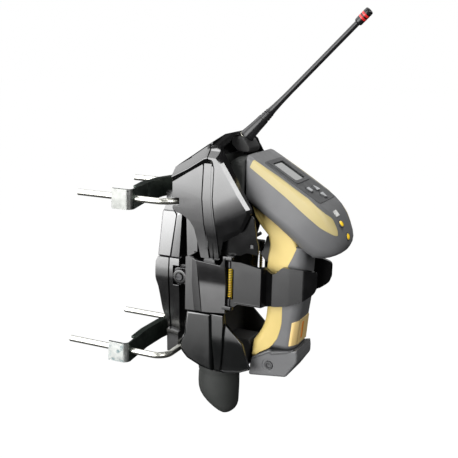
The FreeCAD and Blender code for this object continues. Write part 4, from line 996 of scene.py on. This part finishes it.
SPLIT = [(38.8, 141.0), (30, 137.6), (21.4, 133.9), (13, 131.2), (5, 129.3), (-6, 128.6), (-17, 128.5), (-25, 128.8), (-32.3, 128.9), (-41, 127.4), (-49, 124.9), (-54.5, 121.6), (-59.2, 118.0)]
BACK = [(38, 149.5), (30, 148.0), (21.4, 147.2), (13, 146.9), (5, 146.7), (-6, 146.4), (-12.6, 145.9), (-25, 144.2), (-32.3, 143.3), (-41, 142.5), (-49, 141.5), (-54.5, 141.0), (-59.2, 140.6)]
FRONT = [(16, 112.6), (13, 114.5), (9, 116.8), (5, 115.4), (-3, 112.7), (-12, 112.0), (-20.8, 111.4), (-28, 110.8), (-33.8, 109.8), (-39, 108.2), (-43.3, 106.4), (-49, 103.2), (-56.3, 98.2), (-60.5, 98.2), (-66, 98.8), (-70.4, 99.6)]


def oval(x0, x1, half, z, r0, r1, k=8):
    """Horizontal section from x0 to x1 with corner radii r0 at x0 and r1 at x1."""
    out = []
    for cx, cy, rx, ry, a0 in ((x1 - r1, half - min(r1, half), r1, min(r1, half), 0), (x0 + r0, half - min(r0, half), r0, min(r0, half), 90),
                               (x0 + r0, -(half - min(r0, half)), r0, min(r0, half), 180), (x1 - r1, -(half - min(r1, half)), r1, min(r1, half), 270)):
        for j in range(k + 1):
            a = math.radians(a0 + 90 * j / k)
            out.append((cx + rx * math.cos(a), cy + ry * math.sin(a), z))
    return out


rings = []
for z in [40.5] + zl:
    xs, xb = lerp(SPLIT, z), lerp(BACK, z)
    half = 19.5 - max(0, (abs(z + 10) - 30)) * 0.01
    rings.append(oval(xs - 3.0, xb, half - 0.25, z, 1.0, 9.0))
ob = loft("reader_handle_back", rings, GREY)
LABEL = [(149.55, -23.5), (153.5, -25.0), (151.4, -46.0), (147.3, -47.2)]
soft(ob, 0, 1)
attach(ob, "reader")
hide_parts("reader_shell_left", "reader_shell_right")
rings = []
for z in (16, 13, 9, 5, -3, -12, -20.8, -28, -33.8, -39, -43.3, -49, -56.3, -60.5, -66.0, -70.2):
    xf, xs = lerp(FRONT, z), lerp(SPLIT, z)
    if z < -59.2:
        xs = 118.0 - (-59.2 - z) * 1.65
    rings.append(oval(xf, max(xs, xf + 3.2), 19.5, z, min(9.5, (xs - xf) * 0.45), 1.2))
ob = loft("reader_grip_lower", rings, GRIP)
soft(ob, 0, 1)
put(ob, "grip_overmould", "reader_yellow")
# grip's upper part: wraps under the head on both sides of the trigger
top_grip = [(92.8, 77.4, 0.6), (94.3, 78.9, 0.6), (116.2, 62.0), (132.6, 51.0, 6), (138.2, 44.7, 6), (140.9, 38.8), (137.6, 30.0), (133.8, 21.4, 12), (131.0, 12.5), (113.0, 12.5), (111.4, 17.2, 3),
            (112.2, 28.2, 8), (113.5, 39.4, 5), (111.9, 47.4, 4), (104.7, 54.9, 5), (98.0, 63.8, 8)]
ob = shelled("reader_grip_upper", top_grip, 19.5, GRIP, ((2.2, 0), (1.0, 0.5), (0.3, 1.4), (0, 2.8)), 5)
combine(ob, prism("r3", [(100, 14.5), (118.2, 14.5), (121, 30), (120, 50.4), (100, 50.4)], -8.4, 8.4))
soft(tidy(ob), 0.35, 2, 34)
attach(ob, "reader")
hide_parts("grip_overmould")
ob = shelled("trigger_lever", [(105.6, 43.8, 3), (103.0, 33, 8), (99.8, 26.4, 2), (104.9, 20.4, 2), (110.6, 17.2, 2), (113.4, 22, 3), (115, 30), (117.6, 39.5, 2), (117.6, 46.4, 3), (111.0, 47.4, 3)],
             8.0, GREY, ((1.6, 0), (0.7, 0.4), (0.2, 1.1), (0, 2.0)), 6)
put(soft(ob, 0, 1), "trigger", "reader_grey")

# charging foot with its ridge and screw
foot = [(99.6, -71.1), (117.0, -61.3), (119.2, -62.8), (134.4, -59.6), (144.2, -57.4), (145.0, -63, 6), (144.9, -69.6, 5), (134.2, -85.6, 4),
        (96.7, -90.1, 1.5), (98.2, -75, 2)]
ob = shelled("reader_foot", foot, 20.0, GREY, ((1.9, 0), (0.8, 0.45), (0.2, 1.2), (0, 2.2)), 5)
combine(ob, drum("r4", [(4.3, -22.0), (4.3, -17.8)], at=(117.0, 0, -76.6), axis=(0, 1, 0), k=48))
combine(ob, drum("r5", [(6.4, -22.0), (6.4, -19.4)], at=(117.0, 0, -76.6), axis=(0, 1, 0), k=48))
soft(tidy(ob), 0.4, 2)
put(ob, "battery_foot", "reader_grey")
ob = sharp(drum("reader_foot_screw", [(4.1, -17.8), (4.1, -19.8), (3.8, -20.3), (2.6, -20.4), (2.2, -19.2), (0, -19.0)][::-1], DARK, (117.0, 0, -76.6), (0, 1, 0), 48), 35)
put(ob, "foot_screw", "dark_steel")
ob = soft(prism("reader_foot_ridge", [(100.0, -72.4), (117.4, -62.9, 1), (119.6, -64.2, 1), (134.6, -60.6), (141.0, -56.8), (141.0, -58.2), (134.6, -62.2), (119.4, -66.0, 1), (117.0, -64.6, 1), (100.0, -74.0)],
                -20.25, -17.0, DARK), 0.25, 2)
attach(ob, "reader")
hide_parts("battery_foot")

# rear label and its bar
ob = soft(prism("reader_rear_label", [(142.2, -29.4), (144.4, -29.8), (142.3, -54.0), (140.2, -54.0)], -11.5, 11.5, YPLATE), 0.5, 2)
put(ob, "rear_label", "reader_yellow")
# the label's field also shows on the flank, as a wrap-round of the same plate
ob = loft("reader_label_wrap", [[(144.3, -11.0, -30.0), (142.1, -11.0, -53.6), (138.8, -11.0, -53.8), (141.0, -11.0, -30.0)],
                                [(143.5, -14.6, -30.4), (141.2, -14.6, -53.8), (137.6, -14.6, -54.0), (139.9, -14.6, -30.4)],
                                [(141.2, -17.8, -31.2), (138.7, -17.8, -54.0), (135.9, -16.8, -54.2), (138.2, -16.8, -31.2)],
                                [(138.9, -19.3, -32.0), (136.6, -19.3, -54.4), (135.3, -18.2, -54.4), (137.5, -18.2, -32.0)]], YPLATE)
soft(ob, 0, 1)
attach(ob, "reader")
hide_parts("rear_label")
ob = soft(prism("reader_label_bar", [(143.0, -33.0), (144.6, -33.0, 0.3), (143.2, -49.0, 0.3), (141.6, -49.0)], -6.6, -3.2, ORANGE), 0.2, 2)
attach(ob, "reader")
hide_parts("rear_label")

# nose bumper, window, display, keys, lamps
nose = [(92.4, 118.6), (92.4, 80.4), (88.0, 80.4, 3), (78.5, 90.0, 4), (72.4, 103.4, 5), (74.0, 112.4, 5), (80.5, 117.2, 4)]
ob = shelled("reader_nose", nose, 28.0, RUBBER, ((5.0, 0), (2.8, 0.9), (1.2, 2.6), (0.3, 5.0), (0, 8.0)), 5)
combine(ob, prism("r6", [(79.2, 91.2), (72.0, 85.0), (62.0, 101.0), (74.6, 101.6)], -21.2, 21.2))
soft(tidy(ob), 0.5, 2)
put(ob, "nose_bumper", "rubber_black")
put(soft(prism("reader_scan_window", [(77.4, 90.2), (76.2, 89.6), (71.2, 100.6), (72.5, 101.1)], -21, 21, SCAN), 0.2, 2), "scan_window", "scan_glass")

cover = prism("reader_top_cover", [(-6, -22, 4), (57, -22, 4), (57, 22, 4), (-6, 22, 4)], -2.5, 0.25, DARK, plane=head_frame)
combine(cover, prism("r7", [(-1.1, -12.6, 2), (26.1, -12.6, 2), (26.1, 12.6, 2), (-1.1, 12.6, 2)], -4, 2, plane=head_frame))
for ks, ky in ((40.0, -10.0), (41.0, 4.5), (51.0, 1.5)):
    x, z = up(ks, 0)
    combine(cover, drum("r8", [(4.35, -5), (4.35, 3)], at=(x, ky, z), axis=(ST, 0, CT), k=40))
soft(tidy(cover), 0.35, 2)
put(cover, "top_cover", "reader_dark")
put(soft(prism("reader_display", [(-1.0, -12.5, 2), (26.0, -12.5, 2), (26.0, 12.5, 2), (-1.0, 12.5, 2)], -1.6, -0.2, GLASS, plane=head_frame), 0.15, 2), "display_window", "clear_window")
# display bezel, raised around the window
bez = prism("reader_bezel", [(-4.5, -16.5, 3), (29.5, -16.5, 3), (29.5, 16.5, 3), (-4.5, 16.5, 3)], 0.0, 1.1, DARK, plane=head_frame)
combine(bez, prism("r9", [(-0.6, -12.1, 2), (25.6, -12.1, 2), (25.6, 12.1, 2), (-0.6, 12.1, 2)], -4, 4, plane=head_frame))
soft(tidy(bez), 0.5, 3)
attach(bez, "reader")
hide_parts("top_cover")


def key_cap(node, ks, ky, shape, size):
    """Round key with a raised legend of its own outline."""
    x, z = up(ks, 0)
    ob = sharp(drum(node + "_cap", [(2.0, -5.0), (2.0, -2.6), (4.0, -2.6), (4.0, 0.7), (3.75, 1.2), (3.2, 1.4), (0, 1.45)], DARK, (x, ky, z), (ST, 0, CT), 48), 40)
    put(ob, node, "key_rubber")
    leg = prism(node + "_legend", [(ks + p[0] * size, ky + p[1] * size, 0.4) for p in shape], 1.2, 1.75, KEYPALE, plane=head_frame)
    soft(leg, 0.15, 2)
    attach(leg, BODY_OF[node])
    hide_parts(node)


key_cap("key_enter", 40.0, -10.0, [(-0.8, -0.8), (0.8, -0.8), (0.8, 0.8), (-0.8, 0.8)], 3.3)
key_cap("key_up", 41.0, 4.5, [(-1, 0), (0.8, -1), (0.8, 1)], 3.7)
key_cap("key_down", 51.0, 1.5, [(1, 0), (-0.8, -1), (-0.8, 1)], 3.7)
for i, (at, d) in enumerate((((177.3, -12.0, 64.8), (0.80, -0.12, 0.59)), ((182.2, -6.0, 52.6), (0.95, -0.10, 0.28)))):
    ob = sharp(drum("reader_lamp_%d" % (i + 1), [(2.8, -2.0), (2.8, 0.7), (2.5, 1.0), (1.6, 1.5), (0, 1.75)], AMBER, at, d, 40), 40)
    put(ob, "status_lenses", "amber_lens")
    ob = sharp(drum("reader_lamp_rim_%d" % (i + 1), [(2.85, -2.0), (3.9, -2.0), (3.9, 0.5), (3.5, 0.8), (3.0, 0.8), (2.85, 0.4)], DARK, at, d, 40), 40)
    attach(ob, "reader")
    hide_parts("status_lenses")

# small pale legend plate above the lamps
at, d = Vector((171.4, -8.2, 72.9)), Vector((0.73, -0.07, 0.68)).normalized()
e1 = d.cross(Vector((0, 1, 0))).normalized()
e2 = d.cross(e1)
corners = [at + e1 * a + e2 * b for a, b in ((-3.0, -3.3), (3.0, -3.3), (3.0, 3.3), (-3.0, 3.3))]
ob = soft(loft("reader_icon_plate", [[tuple(c - d * 1.5) for c in corners], [tuple(c + d * 0.5) for c in corners]], PRINT), 0.3, 2)
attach(ob, "reader")
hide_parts("top_cover")

# ------------------------------------------------------------------ carried-over CAD nodes
FINISH = {"inner_bulkhead": LINER, "nose_pad": RUBBER, "main_board": BOARD, "radio_module": SHIELD, "power_board": BOARD, "cable_socket": LINER, "display_module": BOARD,
          "scan_engine": SHIELD, "reader_board": BOARD, "battery_cell": CELL, "trigger_pin": DARKSTEEL, "u_bolt_nuts": ZINC, "u_bolt_washers": ZINC}
for n, m in FINISH.items():
    o = NODES[n]
    o.data.materials.clear()
    o.data.materials.append(m)
    w = o.modifiers.new("weld", "WELD")
    w.merge_threshold = 1e-6
    b = o.modifiers.new("edges", "BEVEL")
    b.width = 0.35 * MM
    b.segments = 2
    b.limit_method = "ANGLE"
    b.angle_limit = math.radians(40)
left = [n for n, o in NODES.items() if not o.hide_render and n not in FINISH]
if left:
    raise RuntimeError("CAD nodes with no finish: " + ", ".join(left))

# ------------------------------------------------------------------ stage, light and camera
me = bpy.data.meshes.new("floor")
bm = bmesh.new()
bmesh.ops.create_circle(bm, cap_ends=True, segments=96, radius=14.0)
bm.to_mesh(me)
bm.free()
floor = bpy.data.objects.new("floor", me)
floor.location = (0, 0, -0.55)
me.materials.append(FLOOR)
nt = FLOOR.node_tree
em = nt.nodes.new("ShaderNodeEmission")
em.inputs["Strength"].default_value = 1.0
lpf = nt.nodes.new("ShaderNodeLightPath")
dim = nt.nodes.new("ShaderNodeBsdfDiffuse")
dim.inputs["Color"].default_value = (0.03, 0.03, 0.03, 1)
add = nt.nodes.new("ShaderNodeAddShader")
mxf = nt.nodes.new("ShaderNodeMixShader")
nt.links.new(lpf.outputs["Is Camera Ray"], mxf.inputs[0])
nt.links.new(dim.outputs["BSDF"], mxf.inputs[1])
nt.links.new(em.outputs["Emission"], add.inputs[0])
nt.links.new(dim.outputs["BSDF"], add.inputs[1])
nt.links.new(add.outputs["Shader"], mxf.inputs[2])
nt.links.new(mxf.outputs["Shader"], nt.nodes["Material Output"].inputs["Surface"])
scene.collection.objects.link(floor)

TARGET = Vector((0.0639, 0.0, 0.0444))
AZ, EL, ROLL, DIST = math.radians(24.51), math.radians(12.864), math.radians(1.43), 0.77726
back = Vector((math.sin(AZ) * math.cos(EL), -math.cos(AZ) * math.cos(EL), math.sin(EL)))
cam_data = bpy.data.cameras.new("camera")
cam_data.sensor_width = 36.0
cam_data.lens = 36.0 * 815.62 / 458.0
cam_data.clip_start = 0.02
cam = bpy.data.objects.new("camera", cam_data)
cam.matrix_world = Matrix.Translation(TARGET + back * DIST) @ (back.to_track_quat("Z", "Y").to_matrix().to_4x4() @ Matrix.Rotation(ROLL, 4, "Z"))
scene.collection.objects.link(cam)
scene.camera = cam


def lamp(name, offset, size, power, colour=(1, 1, 1), aim=(0, 0, 0)):
    """Soft box at the offset from the object's middle, facing it."""
    d = bpy.data.lights.new(name, "AREA")
    d.shape = "RECTANGLE"
    d.size, d.size_y = size
    d.energy = power
    d.color = colour
    o = bpy.data.objects.new(name, d)
    at = TARGET + Vector(offset)
    o.matrix_world = Matrix.Translation(at) @ (at - (TARGET + Vector(aim))).to_track_quat("Z", "Y").to_matrix().to_4x4()
    o.visible_camera = False
    scene.collection.objects.link(o)
    return o


def card(name, centre, facing, size, stops, axis="Z", side=None):
    """Glowing studio card; its brightness follows the stops (height in metres, strength)."""
    m = bpy.data.materials.new(name)
    m.use_nodes = True
    nt = m.node_tree
    nt.nodes.remove(nt.nodes["Principled BSDF"])
    geo = nt.nodes.new("ShaderNodeNewGeometry")
    sep = nt.nodes.new("ShaderNodeSeparateXYZ")
    nt.links.new(geo.outputs["Position"], sep.inputs["Vector"])
    mr = nt.nodes.new("ShaderNodeMapRange")
    lo, hi = stops[0][0], stops[-1][0]
    mr.inputs["From Min"].default_value, mr.inputs["From Max"].default_value = lo, hi
    nt.links.new(sep.outputs[axis], mr.inputs["Value"])
    cr = nt.nodes.new("ShaderNodeValToRGB")
    top = max(v for _, v in stops)
    cr.color_ramp.elements[0].position, cr.color_ramp.elements[0].color = 0, (*[stops[0][1] / top] * 3, 1)
    cr.color_ramp.elements[1].position, cr.color_ramp.elements[1].color = 1, (*[stops[-1][1] / top] * 3, 1)
    for h, v in stops[1:-1]:
        e = cr.color_ramp.elements.new((h - lo) / (hi - lo))
        e.color = (*[v / top] * 3, 1)
    nt.links.new(mr.outputs["Result"], cr.inputs["Fac"])
    em = nt.nodes.new("ShaderNodeEmission")
    em.inputs["Strength"].default_value = top
    nt.links.new(cr.outputs["Color"], em.inputs["Color"])
    nt.links.new(em.outputs["Emission"], nt.nodes["Material Output"].inputs["Surface"])
    f = Vector(facing).normalized()
    q = f.to_track_quat("Z", "Y").to_matrix().to_4x4()
    w, h = size[0] / 2, size[1] / 2
    me = bpy.data.meshes.new(name)
    me.from_pydata([(-w, -h, 0), (w, -h, 0), (w, h, 0), (-w, h, 0)], [], [(0, 1, 2, 3)])
    me.materials.append(m)
    o = bpy.data.objects.new(name, me)
    o.matrix_world = Matrix.Translation(Vector(centre)) @ q
    o.visible_camera = False
    scene.collection.objects.link(o)
    return o


d = Vector((-0.42, -0.907, 0))
card("card_left", TARGET + d * 1.25 + Vector((0, 0, 0.10)), -d, (1.15, 1.5),
     [(-0.62, 0.0), (-0.56, 0.4), (-0.48, 1.0), (-0.40, 1.3), (-0.32, 1.65), (-0.24, 2.7), (-0.16, 5.0), (-0.06, 7.6), (0.30, 7.6), (0.85, 3.0)])
d = Vector((-0.66, -0.03, 0.72)).normalized()
card("card_over", TARGET + d * 1.15, -d, (1.25, 1.05), [(0.0, 2.9), (2.0, 2.9)])
d = Vector((0.04, 0.89, 0.50)).normalized()
card("card_behind", TARGET + d * 1.25, -d, (0.7, 0.55), [(0.0, 1.15), (2.0, 1.15)])
lamp("strip_right", (0.96, -0.86, 0.46), (0.34, 0.95), 9.5)
lamp("top", (0.35, 0.15, 1.30), (0.7, 0.7), 9.0)
lamp("rim_back", (-1.15, 0.5, -0.12), (0.35, 0.6), 4.0)
world = bpy.data.worlds.new("studio")
world.use_nodes = True
wn, wl = world.node_tree.nodes, world.node_tree.links
bg = wn["Background"]
bg.inputs["Color"].default_value = (1, 1, 1, 1)
bg.inputs["Strength"].default_value = 0.045
bg2 = wn.new("ShaderNodeBackground")
bg2.inputs["Color"].default_value = (1, 1, 1, 1)
bg2.inputs["Strength"].default_value = 1.0
lp = wn.new("ShaderNodeLightPath")
mx = wn.new("ShaderNodeMixShader")
wl.new(lp.outputs["Is Camera Ray"], mx.inputs[0])
wl.new(bg.outputs["Background"], mx.inputs[1])
wl.new(bg2.outputs["Background"], mx.inputs[2])
wl.new(mx.outputs["Shader"], wn["World Output"].inputs["Surface"])
scene.world = world
scene.view_settings.view_transform = "Standard"
